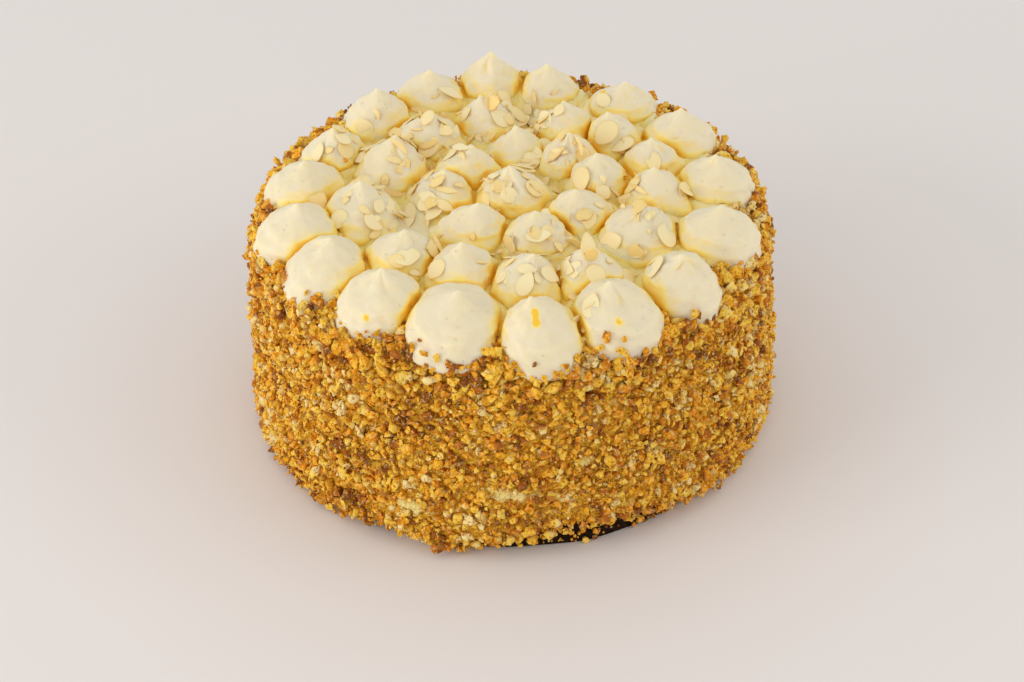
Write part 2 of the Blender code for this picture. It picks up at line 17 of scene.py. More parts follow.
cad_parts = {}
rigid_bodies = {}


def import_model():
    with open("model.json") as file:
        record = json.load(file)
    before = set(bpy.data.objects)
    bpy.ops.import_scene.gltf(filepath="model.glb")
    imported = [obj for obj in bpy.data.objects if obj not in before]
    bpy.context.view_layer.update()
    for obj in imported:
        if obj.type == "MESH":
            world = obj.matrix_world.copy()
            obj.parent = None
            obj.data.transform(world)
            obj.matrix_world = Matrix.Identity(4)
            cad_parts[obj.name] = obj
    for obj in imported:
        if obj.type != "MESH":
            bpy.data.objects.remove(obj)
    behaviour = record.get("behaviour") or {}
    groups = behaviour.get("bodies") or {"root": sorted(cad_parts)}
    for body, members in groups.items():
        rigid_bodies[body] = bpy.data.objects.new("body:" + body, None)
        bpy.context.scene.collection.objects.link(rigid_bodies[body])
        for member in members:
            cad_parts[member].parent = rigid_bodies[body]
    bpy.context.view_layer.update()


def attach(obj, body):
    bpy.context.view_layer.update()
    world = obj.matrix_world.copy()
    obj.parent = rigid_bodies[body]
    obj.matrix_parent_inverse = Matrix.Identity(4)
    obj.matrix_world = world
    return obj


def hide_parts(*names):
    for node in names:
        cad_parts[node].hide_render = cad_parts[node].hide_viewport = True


bl_info = {
    "name": "Walnut torte",
    "version": (1, 0, 0),
    "blender": (4, 5, 0),
    "location": "3D View > Sidebar > Torte",
    "description": "Dresses a torte in cream, chopped walnuts, flaked almonds and dark sponge",
    "category": "Object",
}

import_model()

MM = 0.001
UP = Vector((0.0, 0.0, 1.0))

# ---- The solids' own sizes, repeated so that every piece stands where its solid does -------------
GAP = 0.3 * MM
BOTTOM_RADIUS = 109.6 * MM
TOP_RADIUS = 106.0 * MM
TOP_HEIGHT = 95.5 * MM
SHOULDER_RADIUS = 8.0 * MM
FOOT_HEIGHT = 15.0 * MM
FOOT_RADIUS = 101.5 * MM
FOOT_BELLY = 0.4 * MM
SKIRT_INNER_RADIUS = 103.6 * MM
SKIRT_HEIGHT = 1.8 * MM
EDGE_HEIGHT = 8.0 * MM
EDGE_DEPTH = 5.0 * MM
LIFT_REACH = 20.0 * MM
# Where the coat stops short of the table: degrees round, half its width in degrees, and how far.
WINDOWS = ((-73, 31, 10.5 * MM), (-118, 13, 2.2 * MM))

NEIGHBOUR_GAP = 3.0 * MM
SAG_OUT = 0.04
OUTLINE = ((0.0, 0.92), (0.20, 1.0), (0.45, 0.90), (0.69, 0.56), (0.87, 0.18))
TRIMMED_OUTLINE = ((-0.32, 0.62), (-0.07, 0.88)) + OUTLINE[1:]
DOLLOPS = (          # name, tip, middle of base, radius, height and sag, in mm
    ("outer_01", -19.5, -82.3, -22.6, -82.8, 20.0, 19.0, 3.0),
    ("outer_02", 8.3, -89.0, 11.3, -89.5, 16.5, 20.0, 5.0),
    ("outer_03", 38.9, -80.1, 40.2, -79.6, 18.0, 20.3, 3.5),
    ("outer_04", 67.2, -61.9, 66.8, -61.6, 15.3, 20.4, 3.5),
    ("outer_05", 84.4, -29.6, 83.0, -29.0, 16.5, 20.1, 3.0),
    ("outer_06", 85.6, 7.5, 85.4, 8.0, 15.3, 20.0, 3.0),
    ("outer_07", 73.3, 41.4, 71.9, 42.2, 15.2, 20.6, 3.0),
    ("outer_08", 50.3, 67.4, 49.2, 68.2, 14.6, 18.6, 3.0),
    ("outer_09", 16.9, 82.3, 18.5, 83.2, 13.3, 18.7, 3.0),
    ("outer_10", -7.1, 87.1, -7.0, 88.0, 13.5, 22.5, 3.0),
    ("outer_11", -33.6, 79.0, -33.2, 79.9, 14.3, 19.1, 3.0),
    ("outer_12", -55.3, 62.5, -56.0, 63.1, 14.6, 20.2, 3.0),
    ("outer_13", -71.4, 34.6, -73.8, 35.0, 13.6, 19.7, 3.0),
    ("outer_14", -83.9, 10.8, -84.6, 11.0, 16.0, 18.9, 3.0),
    ("outer_15", -84.4, -21.3, -85.8, -21.4, 16.3, 19.3, 3.0),
    ("outer_16", -71.3, -43.7, -73.6, -47.0, 17.2, 18.5, 6.0),
    ("outer_17", -49.5, -67.4, -51.2, -69.8, 16.8, 19.4, 5.5),
    ("second_01", 53.6, -26.9, 52.0, -27.8, 16.4, 18.5, 0.0),
    ("second_02", 58.4, 0.3, 60.6, 0.2, 13.2, 19.0, 0.0),
    ("second_03", 58.5, 22.3, 60.2, 22.6, 13.5, 18.4, 0.0),
    ("second_04", 42.5, 41.8, 44.8, 42.0, 12.8, 19.9, 0.0),
    ("second_05", 24.5, 49.0, 24.2, 49.4, 13.2, 20.6, 0.0),
    ("second_06", -11.5, 56.3, -7.6, 56.4, 13.2, 19.6, 0.0),
    ("second_07", -33.3, 45.0, -33.6, 44.9, 14.5, 19.2, 0.0),
    ("second_08", -46.6, 25.2, -49.0, 25.0, 14.7, 20.3, 0.0),
    ("second_09", -60.3, -8.2, -61.2, -8.2, 15.4, 20.3, 0.0),
    ("second_10", -41.6, -40.8, -43.2, -41.3, 15.2, 18.9, 0.0),
    ("second_11", -18.5, -52.2, -19.2, -52.8, 15.0, 20.6, 0.0),
    ("second_12", 8.0, -59.9, 5.2, -60.4, 14.8, 20.2, 0.0),
    ("second_13", 29.8, -56.5, 31.2, -56.4, 14.2, 20.5, 0.0),
    ("inner_01", -12.6, -23.0, -14.6, -21.8, 13.7, 19.1, 0.0),
    ("inner_02", 10.1, -29.6, 11.0, -28.2, 14.0, 18.5, 0.0),
    ("inner_03", 25.8, -14.3, 29.4, -13.2, 14.4, 18.8, 0.0),
    ("inner_04", 36.4, 10.9, 37.4, 11.0, 13.4, 19.5, 0.0),
    ("inner_05", 25.1, 26.2, 25.6, 26.1, 13.2, 20.3, 0.0),
    ("inner_06", 4.0, 33.1, 4.2, 33.6, 12.7, 18.8, 0.0),
    ("inner_07", -16.2, 18.0, -17.3, 18.4, 13.1, 20.0, 0.0),
    ("inner_08", -25.4, 2.1, -27.8, 2.2, 13.3, 19.2, 0.0),
    ("middle_01", 1.0, 0.0, 1.6, 1.6, 15.2, 20.6, 0.0),
)

RIM_NUTS = 38
WALL_NUTS = 106
RIM_NUT_SIZE = (5.5 * MM, 10.0 * MM)
WALL_NUT_SIZE = (4.5 * MM, 6.5 * MM)
RIM_NUT_LIFT = (5.0, 85.0)
LOWEST_NUT = 3.6 * MM
NUT_SUNK = 0.10
NUT_TRIES = 24
NUT_ROOM = 0.55
NUT_CLEARANCE = 0.4 * MM
SLIDE_STEP = 4
# Degrees round, degrees up the shoulder or mm up the side, and length in mm.
SHOULDER_NUTS = (
    (-94, 60, 14.0), (-76, 56, 7.5), (-66, 28, 8.5), (-61, 64, 7.0), (-52, 60, 10.0),
    (-46, 44, 7.5), (6, 20, 8.0), (29, 40, 8.5), (35, 56, 8.0), (51, 56, 9.5), (69, 68, 8.5),
    (77, 56, 8.0), (87, 56, 8.0), (103, 60, 7.5), (118, 60, 9.0), (138, 44, 7.5), (150, 44, 8.0),
    (164, 32, 8.0), (-144, 48, 8.0), (-126, 32, 8.5))
SIDE_NUTS = ((-88, 14, 7.5), (-52, 12, 7.0), (-69, 80, 7.5), (-98, 76, 7.0))

FLAKE_LENGTH = (8.0 * MM, 12.0 * MM)
FLAKE_WIDTH = (0.60, 0.85)
FLAKE_ROCK = 0.25
FLAKES = {           # degrees round the dollop, and share of its height
    "outer_03": ((215, 0.67),),
    "outer_04": ((170, 0.60),),
    "outer_08": ((205, 0.62),),
    "outer_12": ((250, 0.41),),
    "outer_13": ((225, 0.60), (305, 0.62)),
    "outer_14": ((295, 0.45),),
    "second_01": ((215, 0.42), (320, 0.55)),
    "second_02": ((190, 0.62), (345, 0.45)),
    "second_03": ((275, 0.68),),
    "second_04": ((250, 0.68), (310, 0.48)),
    "second_05": ((190, 0.62),),
    "second_06": ((190, 0.60), (25, 0.53), (315, 0.62)),
    "second_07": ((270, 0.49), (350, 0.58), (140, 0.62)),
    "second_08": ((295, 0.62),),
    "second_09": ((350, 0.52), (300, 0.45), (235, 0.47)),
    "second_10": ((0, 0.59), (255, 0.61)),
    "second_11": ((205, 0.55),),
    "second_12": ((205, 0.59), (265, 0.62), (335, 0.62)),
    "second_13": ((225, 0.66), (290, 0.62)),
    "inner_02": ((300, 0.66), (215, 0.40)),
    "inner_03": ((290, 0.55),),
    "inner_04": ((275, 0.45), (225, 0.57)),
    "inner_05": ((310, 0.62),),
    "inner_06": ((290, 0.45),),
    "inner_07": ((150, 0.59),),
    "inner_08": ((140, 0.62),),
    "middle_01": ((220, 0.47), (265, 0.62), (330, 0.60)),
}
SEED = 31

# ---- What only the dressed cake has --------------------------------------------------------------
CREAM_UNDER_NUTS = 2.2 * MM     # how deep the cream lies under the level of the nuts
FLOOR_AIR = 0.15 * MM           # what rests on the floor is flattened this far above it
CREAM_FILL = 1.6 * MM           # how high the dollops' feet run together between them
MENISCUS = 4.2 * MM             # how much higher the cream stands right beside a foot
MENISCUS_REACH = 2.4 * MM       # and how fast that falls off
FEET_SPREAD = 12.0 * MM         # how much further apart dollops may be and still meet at their feet
TOP_CREAM_RADIUS = 95.0 * MM
COAT_COLUMNS = 700
COAT_TOP_STEPS = 12             # how many rows the coat has over its top, shoulder, wall and edge
COAT_WALL_STEPS = 84
COAT_EDGE_STEPS = 8
TOPPED_RADIUS = 90.0 * MM       # within this the coat is hidden under the top's cream
TOP_COLUMNS = 420
TOP_STEPS = 64
FOOT_COLUMNS = 560
FOOT_STEPS = 20
BARE_PATCHES = (                # degrees round, height, half width and half height in mm
    (-91, 33, 11, 2.6), (-112, 22, 9, 3.2), (-97, 81, 3.0, 1.8), (-136, 60, 3, 2),
    (-75, 46, 4, 2), (20, 40, 7, 3), (75, 60, 8, 2.5), (140, 28, 9, 3), (-160, 20, 6, 3))
DOLLOP_COLUMNS = 64
DOLLOP_ROWS = 38
PIPED_FOOT = ((-0.10, 1.46), (0.05, 1.34), (0.22, 1.14))
PIPED_OVERHANG = ((-0.30, 0.72), (-0.08, 0.97), (0.18, 1.03))
OUTER_FLARE = 0.32              # how much further an outer dollop runs out towards the middle
PIPED_NECK = (
    (0.40, 0.93), (0.56, 0.745), (0.70, 0.53), (0.81, 0.33), (0.90, 0.165), (0.96, 0.08), (1.0, 0.02))
FULLNESS = {                    # which dollops are rounder, or slimmer, than their outline
    "outer_01": 0.09, "outer_03": 0.03, "outer_04": 0.10, "outer_05": 0.06, "outer_06": 0.04,
    "outer_16": 0.06, "outer_17": 0.08, "outer_14": 0.05, "outer_15": 0.05, "second_01": 0.10,
    "inner_04": 0.12, "outer_02": -0.02, "outer_10": -0.04, "inner_02": 0.04, "second_12": 0.03}

# Bits of walnut that fell on the cream: the dollop, degrees round it, share of its height, mm.
NUTS_ON_CREAM = (
    ("outer_16", 230, 0.20, 5.0), ("outer_01", 220, 0.26, 4.0), ("outer_01", 226, 0.39, 3.0),
    ("outer_03", 260, 0.40, 6.0), ("outer_03", 280, 0.38, 4.0), ("outer_04", 285, 0.24, 6.0),
    ("outer_02", 262, 0.24, 3.0), ("outer_02", 300, 0.12, 4.5), ("outer_17", 262, 0.10, 4.0))
FALLEN_NUT_LIFT = 0.28          # how far a nut's middle is off the cream, as a share of its size
ROUND_NUT_LIFT = 0.20
STANDING_NUT_LIFT = 0.22
NUTS_ROUND_DOLLOP = 11
ROUND_NUT_SIZE = (3.4 * MM, 6.4 * MM)
COARSE_SHAPES = 16              # how many shapes there are of each kind of nut
CHOPPED_SHAPES = 24
FOOT_NUT_SHAPES = 12

# Flakes besides the solids' own: the dollop, degrees round it, share of its height, length in mm,
# and how it lies: flat on the cream, on its long edge, standing in it, or in the valley below.
MORE_FLAKES = (
    ("second_13", 285, 0.84, 10.0, "standing"), ("inner_03", 300, 0.25, 6.0, "flat"),
    ("middle_01", 250, 0.72, 8.0, "edge"), ("inner_05", 250, 0.10, 7.0, "valley"),
    ("second_10", 330, 0.35, 8.0, "flat"), ("second_09", 320, 0.62, 8.0, "flat"),
    ("second_09", 345, 0.28, 7.5, "edge"), ("second_09", 5, 0.70, 6.0, "sliver"),
    ("inner_02", 228, 0.26, 13.0, "sliver"), ("second_12", 185, 0.22, 12.0, "sliver"),
    ("inner_02", 340, 0.30, 9.0, "edge"), ("outer_02", 5, 0.45, 6.0, "edge"),
    ("second_12", 335, 0.20, 7.0, "valley"), ("second_12", 262, 0.80, 8.0, "flat"),
    ("second_08", 295, 0.84, 10.0, "edge"), ("second_07", 140, 0.84, 9.0, "edge"),
    ("outer_11", 285, 0.59, 5.0, "sliver"), ("inner_07", 165, 0.35, 11.0, "sliver"),
    ("second_06", 315, 0.80, 9.0, "standing"), ("second_06", 265, 0.43, 5.0, "sliver"),
    ("second_09", 225, 0.72, 5.0, "flat"), ("outer_09", 320, 0.16, 8.0, "valley"),
    ("inner_06", 285, 0.30, 9.0, "sliver"), ("inner_05", 310, 0.76, 10.0, "edge"),
    ("second_02", 200, 0.40, 8.0, "edge"), ("second_02", 185, 0.75, 5.0, "sliver"),
    ("second_04", 210, 0.63, 5.0, "sliver"), ("second_01", 300, 0.84, 4.0, "flat"),
    ("second_01", 245, 0.84, 4.0, "edge"), ("outer_06", 105, 0.72, 5.0, "flat"),
    ("outer_09", 285, 0.55, 5.0, "sliver"), ("outer_04", 152, 0.14, 10.0, "valley"),
    ("second_01", 262, 0.33, 10.0, "flat"), ("outer_04", 250, 0.84, 5.0, "sliver"),
    ("outer_07", 255, 0.61, 3.5, "sliver"), ("inner_08", 215, 0.20, 8.0, "valley"),
    ("second_11", 25, 0.18, 8.0, "valley"), ("second_05", 250, 0.25, 7.0, "valley"),
    ("second_08", 250, 0.20, 8.0, "valley"), ("inner_01", 200, 0.30, 7.0, "sliver"),
    ("second_13", 200, 0.30, 8.0, "edge"), ("second_03", 215, 0.30, 7.0, "sliver"),
    ("outer_12", 275, 0.62, 7.0, "edge"), ("second_10", 285, 0.30, 6.0, "sliver"))
LOOSE_SLIVERS = 70
FLAKE_SHAPES = 8
BROKEN_SHAPES = 3
SEEN_THICKNESS = (0.35, 0.5)    # of every flake, in mm
FLAKE_COLUMNS = 24
FLAKE_LAYERS = (                # share of the outline, level, and how much it belongs to the rim
    (0.45, -0.5, 0.0), (0.9, -0.5, 0.25), (1.0, -0.25, 1.0), (1.0, 0.25, 1.0), (0.9, 0.5, 0.25),
    (0.45, 0.5, 0.0))

# Flakes that stand out: the middle in mm, how far round its length is turned as the camera sees it,
# length and width in mm, how golden it is from 0 to 1, and whether it stands.
SEEN_FLAKES = (
    (-42.7, -5.7, 15, 12.2, 8.2, 0.25), (-28.8, -35.4, -10, 11.9, 5.6, 0.5),
    (-40.7, -49.2, 5, 11.0, 9.4, 0.1), (12.0, -36.0, 0, 7.9, 7.9, 0.75),
    (30.5, -56.4, 95, 10.9, 7.0, 0.35, "standing"), (46.2, -57.3, 10, 9.8, 8.6, 0.2),
    (71.6, -1.8, 60, 11.0, 9.0, 0.3), (30.4, -22.8, 30, 8.0, 5.6, 0.95),
    (-2.4, -3.8, 20, 10.5, 7.3, 0.72), (19.8, 9.8, 40, 7.4, 6.2, 0.7),
    (9.0, 23.7, 5, 9.1, 2.1, 0.5), (10.6, -4.7, -20, 6.5, 2.0, 0.8),
    (-4.1, -35.0, 3, 16.7, 2.0, 0.55), (0.6, -58.3, 10, 8.6, 2.3, 0.6),
    (-7.0, 54.7, 92, 10.1, 5.9, 0.5, "standing"), (-36.7, 66.7, -8, 11.1, 2.6, 0.75),
    (-45.0, 29.0, -6, 12.5, 2.5, 0.7), (-48.4, 7.7, -12, 14.8, 2.9, 0.6),
    (-33.2, 33.3, 20, 8.4, 3.3, 0.9), (-32.4, 23.7, 70, 5.8, 3.3, 0.95),
    (30.3, -85.1, 20, 7.6, 3.8, 0.4), (-3.0, -63.9, 30, 7.0, 3.9, 0.3),
    (23.3, -60.4, 0, 8.6, 7.0, 0.1), (44.2, -0.2, -35, 8.2, 2.0, 0.8),
    (7.0, -0.4, -30, 4.9, 2.8, 0.85), (-51.2, 11.8, 80, 5.8, 3.7, 0.8),
    (-14.8, -33.1, 80, 4.0, 2.8, 0.8), (15.8, 48.4, 70, 7.6, 5.9, 0.6),
    (9.7, 70.1, -30, 8.6, 5.2, 0.35), (5.2, 55.9, 15, 9.3, 5.1, 0.5),
    (-1.0, 75.4, -40, 8.6, 4.3, 0.3), (12.7, 46.9, 10, 6.7, 4.2, 0.2),
    (22.1, 46.9, 60, 6.7, 5.0, 0.3), (-24.8, -5.3, -15, 10.5, 2.8, 0.6),
    (-32.3, -7.1, 10, 8.9, 3.7, 0.5), (-26.2, -9.5, -30, 8.1, 4.1, 0.3),
    (-38.6, 2.0, 25, 6.5, 4.1, 0.7), (-20.0, -1.5, 20, 7.3, 2.4, 0.55),
    (4.6, 3.3, -10, 8.1, 4.1, 0.3), (15.0, 14.5, 35, 5.8, 4.1, 0.4),
    (36.7, -16.3, 0, 5.6, 3.6, 0.3), (53.4, -5.3, -25, 8.9, 2.4, 0.7),
    (56.2, -28.9, 30, 6.4, 3.2, 0.4), (-46.9, 17.5, -10, 8.2, 3.3, 0.4),
    (-64.5, -9.8, 10, 7.3, 4.0, 0.3), (-58.3, -18.0, -40, 5.6, 3.2, 0.5),
    (-70.1, 34.3, 15, 8.3, 3.8, 0.4), (-64.1, 35.2, -20, 7.5, 3.3, 0.6),
    (-74.2, 27.5, 40, 5.8, 3.3, 0.7), (21.4, 21.1, -10, 8.3, 2.9, 0.5),
    (29.8, 23.1, 5, 9.9, 2.1, 0.7), (-11.8, 44.6, -30, 5.9, 3.4, 0.5),
    (51.6, -43.2, 15, 6.3, 4.0, 0.3), (56.8, -56.5, -10, 7.0, 2.3, 0.5),
    (19.9, -38.2, -40, 7.2, 3.2, 0.4), (39.1, -56.6, 50, 5.5, 3.1, 0.3),
    (-31.8, -47.7, 20, 6.3, 3.5, 0.3), (-37.7, -53.9, -20, 5.5, 2.7, 0.3),
    (-11.9, -56.3, 5, 6.2, 2.3, 0.6), (-54.4, -23.3, 30, 5.6, 3.2, 0.4),
)

# Each point of the cream is looked out from in so many ways and so far, to see how shut in it is.
LOOKS = 20
LOOK_AS_FAR = 12.0 * MM
LOOK_FROM = 0.4 * MM
GOLDEN_ANGLE = 2.39996
ABOVE_THE_CAKE = 125.0 * MM
LAID_FROM = 7.0 * MM            # a thing laid on the cream starts so far off its place,
LAID_AS_FAR = 16.0 * MM         # and looks for the cream as far as this
SQUEEZE = 1.6 * MM              # how softly the piped dollops press against one another

# Yellow spots on the cream: the middle and the size in mm.
YELLOW_SPOTS = ((9.0, -93.2, 112.0, 1.9), (9.2, -94.6, 111.1, 1.7), (9.4, -96.6, 109.5, 2.1),
                (40.6, 68.5, 108.5, 2.2), (40.2, 66.6, 108.0, 2.4), (40.0, 65.0, 107.4, 2.0),
                (-56.2, -82.2, 102.5, 1.6), (41.1, -93.2, 106.5, 1.6), (-45.9, -86.7, 95.5, 1.8))

# Coarse walnuts that stand out on the side and against the dollops' feet: the middle and the length
# in mm, how far round it is turned (90 lies level), and how thick it is for its length.
STANDING_OUT = (
    (-7.3, -99.1, 97.7, 14.5, 90, 0.55), (-57.7, -90.1, 89.6, 10.8, 60, 0.6),
    (-58.8, -87.2, 77.9, 9.3, 100, 0.7), (-45.0, -95.2, 95.1, 8.4, 80, 0.7),
    (-50.8, -93.0, 95.5, 6.1, 30, 0.8), (-38.3, -96.4, 98.7, 5.3, 20, 0.9),
    (-33.6, -100.5, 98.9, 4.6, 70, 0.9), (-28.7, -102.7, 98.1, 4.9, 0, 0.9),
    (-23.8, -104.1, 96.1, 5.3, 40, 0.9), (-18.9, -103.9, 93.9, 5.3, 90, 0.9),
    (-13.9, -102.6, 93.8, 5.7, 10, 0.9), (-1.6, -104.1, 94.6, 5.7, 50, 0.9),
    (3.3, -105.2, 91.5, 4.6, 80, 0.9), (7.4, -106.9, 90.3, 3.8, 0, 0.9),
    (16.6, -106.1, 91.9, 4.6, 20, 0.9), (20.5, -105.3, 95.0, 5.3, 70, 0.9),
    (24.5, -100.6, 95.2, 5.3, 0, 0.9), (30.0, -96.1, 95.5, 5.3, 60, 0.9),
    (35.7, -96.4, 102.3, 5.3, 0, 0.9), (33.7, -98.1, 98.3, 6.1, 90, 0.8),
    (42.1, -98.9, 96.3, 6.9, 45, 0.8), (46.1, -97.4, 91.2, 7.7, 60, 0.7),
    (51.2, -94.7, 92.9, 5.4, 0, 0.9), (-79.0, -67.8, 95.2, 7.0, 80, 0.7),
    (-84.7, -64.3, 87.7, 6.3, 20, 0.8), (-72.8, -74.3, 95.0, 5.4, 60, 0.8),
    (-66.6, -82.5, 96.1, 5.8, 0, 0.9), (-61.9, -85.2, 94.2, 5.4, 40, 0.8),
    (-80.1, -61.7, 100.0, 4.7, 0, 0.9), (72.3, -76.9, 97.0, 5.4, 30, 0.9),
    (65.4, -81.1, 95.4, 6.2, 80, 0.8), (59.3, -87.6, 95.6, 6.2, 20, 0.8),
    (-59.2, -92.3, 39.6, 8.7, 50, 0.7), (-53.3, -95.6, 37.1, 6.3, 0, 0.8),
    (12.1, -108.6, 53.9, 6.2, 60, 0.8), (41.6, -97.8, 74.5, 5.4, 30, 0.9),
    (-16.7, -105.9, 69.9, 5.4, 80, 0.8), (6.0, -109.0, 31.4, 5.5, 0, 0.9),
    (23.0, -107.3, 26.9, 6.3, 90, 0.8), (-27.2, -104.1, 17.6, 6.4, 30, 0.8),
)

# Bits of walnut that fell between the dollops: the middle and the size in mm.
SEEN_NUTS = (
    (47.8, 6.3, 5.1), (-22.4, 35.4, 2.5), (-4.6, -10.9, 3.8), (-10.3, -6.1, 3.0), (-68.1, 24.4, 3.8),
    (1.9, 73.7, 2.1), (12.8, 53.2, 2.5), (-36.9, 45.0, 1.7),
)

# Piles of flakes: the middle of each in mm from the cake's middle, how many, and their spread.
FLAKE_PILES = ((-34, -6, 10, 6.0), (0, 8, 11, 8.0), (-38, 44, 7, 6.0), (0, 46, 7, 8.0), (6, 65, 12, 4.5),
               (12, -44, 7, 6.0), (18, 26, 7, 6.0), (-60, 30, 6, 6.0), (-14, 28, 6, 6.0),
               (52, -14, 4, 6.0), (14, 62, 7, 6.0), (-22, 64, 5, 5.0), (38, 30, 5, 5.0),
               (-62, 8, 4, 4.0), (34, -42, 4, 4.0), (-4, -44, 4, 4.0))

# How far round and how high walnut bits stuck to the foot: degrees, and mm.
NUTS_ON_FOOT = ((-118, -34), (1.2, 8.0))
FOOT_NUT_SIZE = (1.3 * MM, 4.4 * MM)
FOOT_NUT_SPACING = 1.3 * MM
FOOT_NUT_DENSITY = 2.4e6        # at most so many on a square metre

# How large one grain, pit or patch of each finish is, in mm.
CREAM_CLOUD = 8.333
CREAM_GRAIN = 1.111             # whipped butter is finer, and is drawn so coarse to show at all
CREAM_FOLD = 3.846
CREAM_PIT = 4.762
KERNEL_PATCH = 13.333
KERNEL_CRUMBLE = 1.316
CRUMB = 1.923
CRUMB_WOBBLE = 3.333
CRUMB_GRAIN = 1.2195
CREAM_SMEAR = 7.692
ALMOND_PATCH = 3.846
SPONGE_CRUMB = 2.0
TABLE_CLOUD = 166.67

LAMP_SIZE = 1.2
LAMP_COLOUR = "#FFFCF8"
LAMPS_POINT_AT = Vector((0.0, 0.0, 0.05))
LEFT_LAMP = Vector((-1.60, -0.75, 0.62))
RIGHT_LAMP = Vector((1.50, -0.45, 0.60))
TABLE_SIZE = 4.0

# The camera, found from the cake's outline: its tilt above the horizon, its distance from the
# point that it looks at, its roll, and its lens on a 36 mm sensor.
CAMERA_TILT = 37.20
CAMERA_DISTANCE = 1.19343
CAMERA_ROLL = -1.0634
CAMERA_TARGET = Vector((0.07 * MM, 0.0, 27.57 * MM))
CAMERA_LENS = 98.4375
SENSOR_WIDTH = 36.0


@dataclass
class Dollop:
    """A piped dollop: its tip and the middle of its base in plan, and its size."""
    name: str
    ring: str
    tip: Vector
    base: Vector
    height: float
    radius: float
    sag: float
    walls: list = field(default_factory=list)       # (direction, distance) of the flats


@dataclass
class Bit:
    """A nut or a flake: where it is, how it is turned, and its size along its three sides."""
    place: Vector
    turn: Matrix
    size: Vector
    shape: int
    tone: float


# ---- Ways and turns ------------------------------------------------------------------------------
def ray_at(turn):
    """The level way out from the middle at an angle round it."""
    return Vector((math.cos(turn), math.sin(turn), 0.0))


def flattened(way):
    return Vector((way.x, way.y, 0.0))


def clamped(value):
    return max(0.0, min(1.0, value))


def ramp(start, end, value):
    """0 before start, 1 after end, and smooth between."""
    share = clamped((value - start) / (end - start))
    return share * share * (3.0 - 2.0 * share)


def away_from(degrees, turn):
    """How many degrees a turn in radians is past an angle, from -180 to 180."""
    return (math.degrees(turn) - degrees + 180.0) % 360.0 - 180.0


def facing(way, spin=0.0):
    """The turn that points a shape's Z along a way, spun about its own Z first."""
    return way.to_track_quat("Z", "X").to_matrix() @ Matrix.Rotation(spin, 3, "Z")


def any_turn(rng):
    return rng.uniform(0.0, math.tau)


def any_way(rng):
    return Vector((rng.gauss(0.0, 1.0), rng.gauss(0.0, 1.0), rng.gauss(0.0, 1.0))).normalized()


# ---- Layout, by the solids' rules ----------------------------------------------------------------
def wall_radius(height):
    share = min(1.0, height / (TOP_HEIGHT - SHOULDER_RADIUS))
    return TOP_RADIUS + (BOTTOM_RADIUS - TOP_RADIUS) * (1.0 - share * share)


def edge_inset(share):
    return EDGE_DEPTH * (1.0 - math.sqrt(1.0 - share * share))


def spread_by_hand(turn, height):
    """How far the palette knife left the side proud of a true cylinder."""
    broad = 0.45 * MM * math.sin(3.0 * turn + 0.6 + 22.0 * height)
    fine = 0.30 * MM * math.sin(7.0 * turn + 2.0 - 55.0 * height)
    return broad + fine


def skirt_rise(turn):
    """How much higher than SKIRT_HEIGHT the coat's lower edge is, on one side of the cake."""
    rise = 0.4 * MM * math.sin(9.0 * turn + 1.0)
    for degrees, half_width, lift in WINDOWS:
        away = abs(away_from(degrees, turn)) / half_width
        if away < 1.0:
            rise += lift * math.cos(0.5 * math.pi * away) ** 0.8
    return rise


def on_shoulder(turn, lift):
    """A point of the cake's shoulder, and the way out from it."""
    out = TOP_RADIUS - SHOULDER_RADIUS + SHOULDER_RADIUS * math.cos(lift)
    height = TOP_HEIGHT - SHOULDER_RADIUS + SHOULDER_RADIUS * math.sin(lift)
    out += spread_by_hand(turn, height) * math.cos(lift)
    ray = ray_at(turn)
    return ray * out + UP * height, (ray * math.cos(lift) + UP * math.sin(lift)).normalized()


def on_side(turn, height):
    """A point of the cake's side or of its round lower edge, and the way out from it."""
    edge = SKIRT_HEIGHT + skirt_rise(turn)
    share = max(0.0, 1.0 - (height - edge) / EDGE_HEIGHT)
    out = wall_radius(height) + spread_by_hand(turn, height) - edge_inset(share)
    ray = ray_at(turn)
    return ray * out + UP * height, (ray - UP * share).normalized()


def anywhere_on_shoulder(rng):
    turn = any_turn(rng)
    return on_shoulder(turn, math.radians(rng.uniform(*RIM_NUT_LIFT)))


def anywhere_on_side(rng):
    turn = any_turn(rng)
    lowest = max(SKIRT_HEIGHT + skirt_rise(turn) + 1.0 * MM, LOWEST_NUT)
    return on_side(turn, rng.uniform(lowest, TOP_HEIGHT - SHOULDER_RADIUS))


def lay_out_dollops():
    """Every dollop on the cake's top, with the flats where it meets its neighbours."""
    dollops = []
    for name, tip_x, tip_y, base_x, base_y, radius, height, sag in DOLLOPS:
        tip = Vector((tip_x, tip_y, 0.0)) * MM
        base = Vector((base_x, base_y, 0.0)) * MM
        ring = name.split("_")[0]
        dollops.append(Dollop("dollop_" + name, ring, tip, base, height * MM, radius * MM, sag * MM))
    for dollop in dollops:
        dollop.walls = flats(dollop, dollops)
    return dollops


def flats(dollop, dollops, spread=0.0):
    """Where the neighbours stop a dollop: the way to each, and how far its flat is.  spread is how
    much further apart than the solids' they may be, because their feet run out."""
    walls = []
    for other in dollops:
        way = other.base - dollop.base
        reach = dollop.radius + other.radius + NEIGHBOUR_GAP + spread
        if other is dollop or way.length > reach:
            continue
        split = (way.length ** 2 + dollop.radius ** 2 - other.radius ** 2) / (2.0 * way.length)
        walls.append((way.normalized(), split - 0.55 * GAP))
    return walls


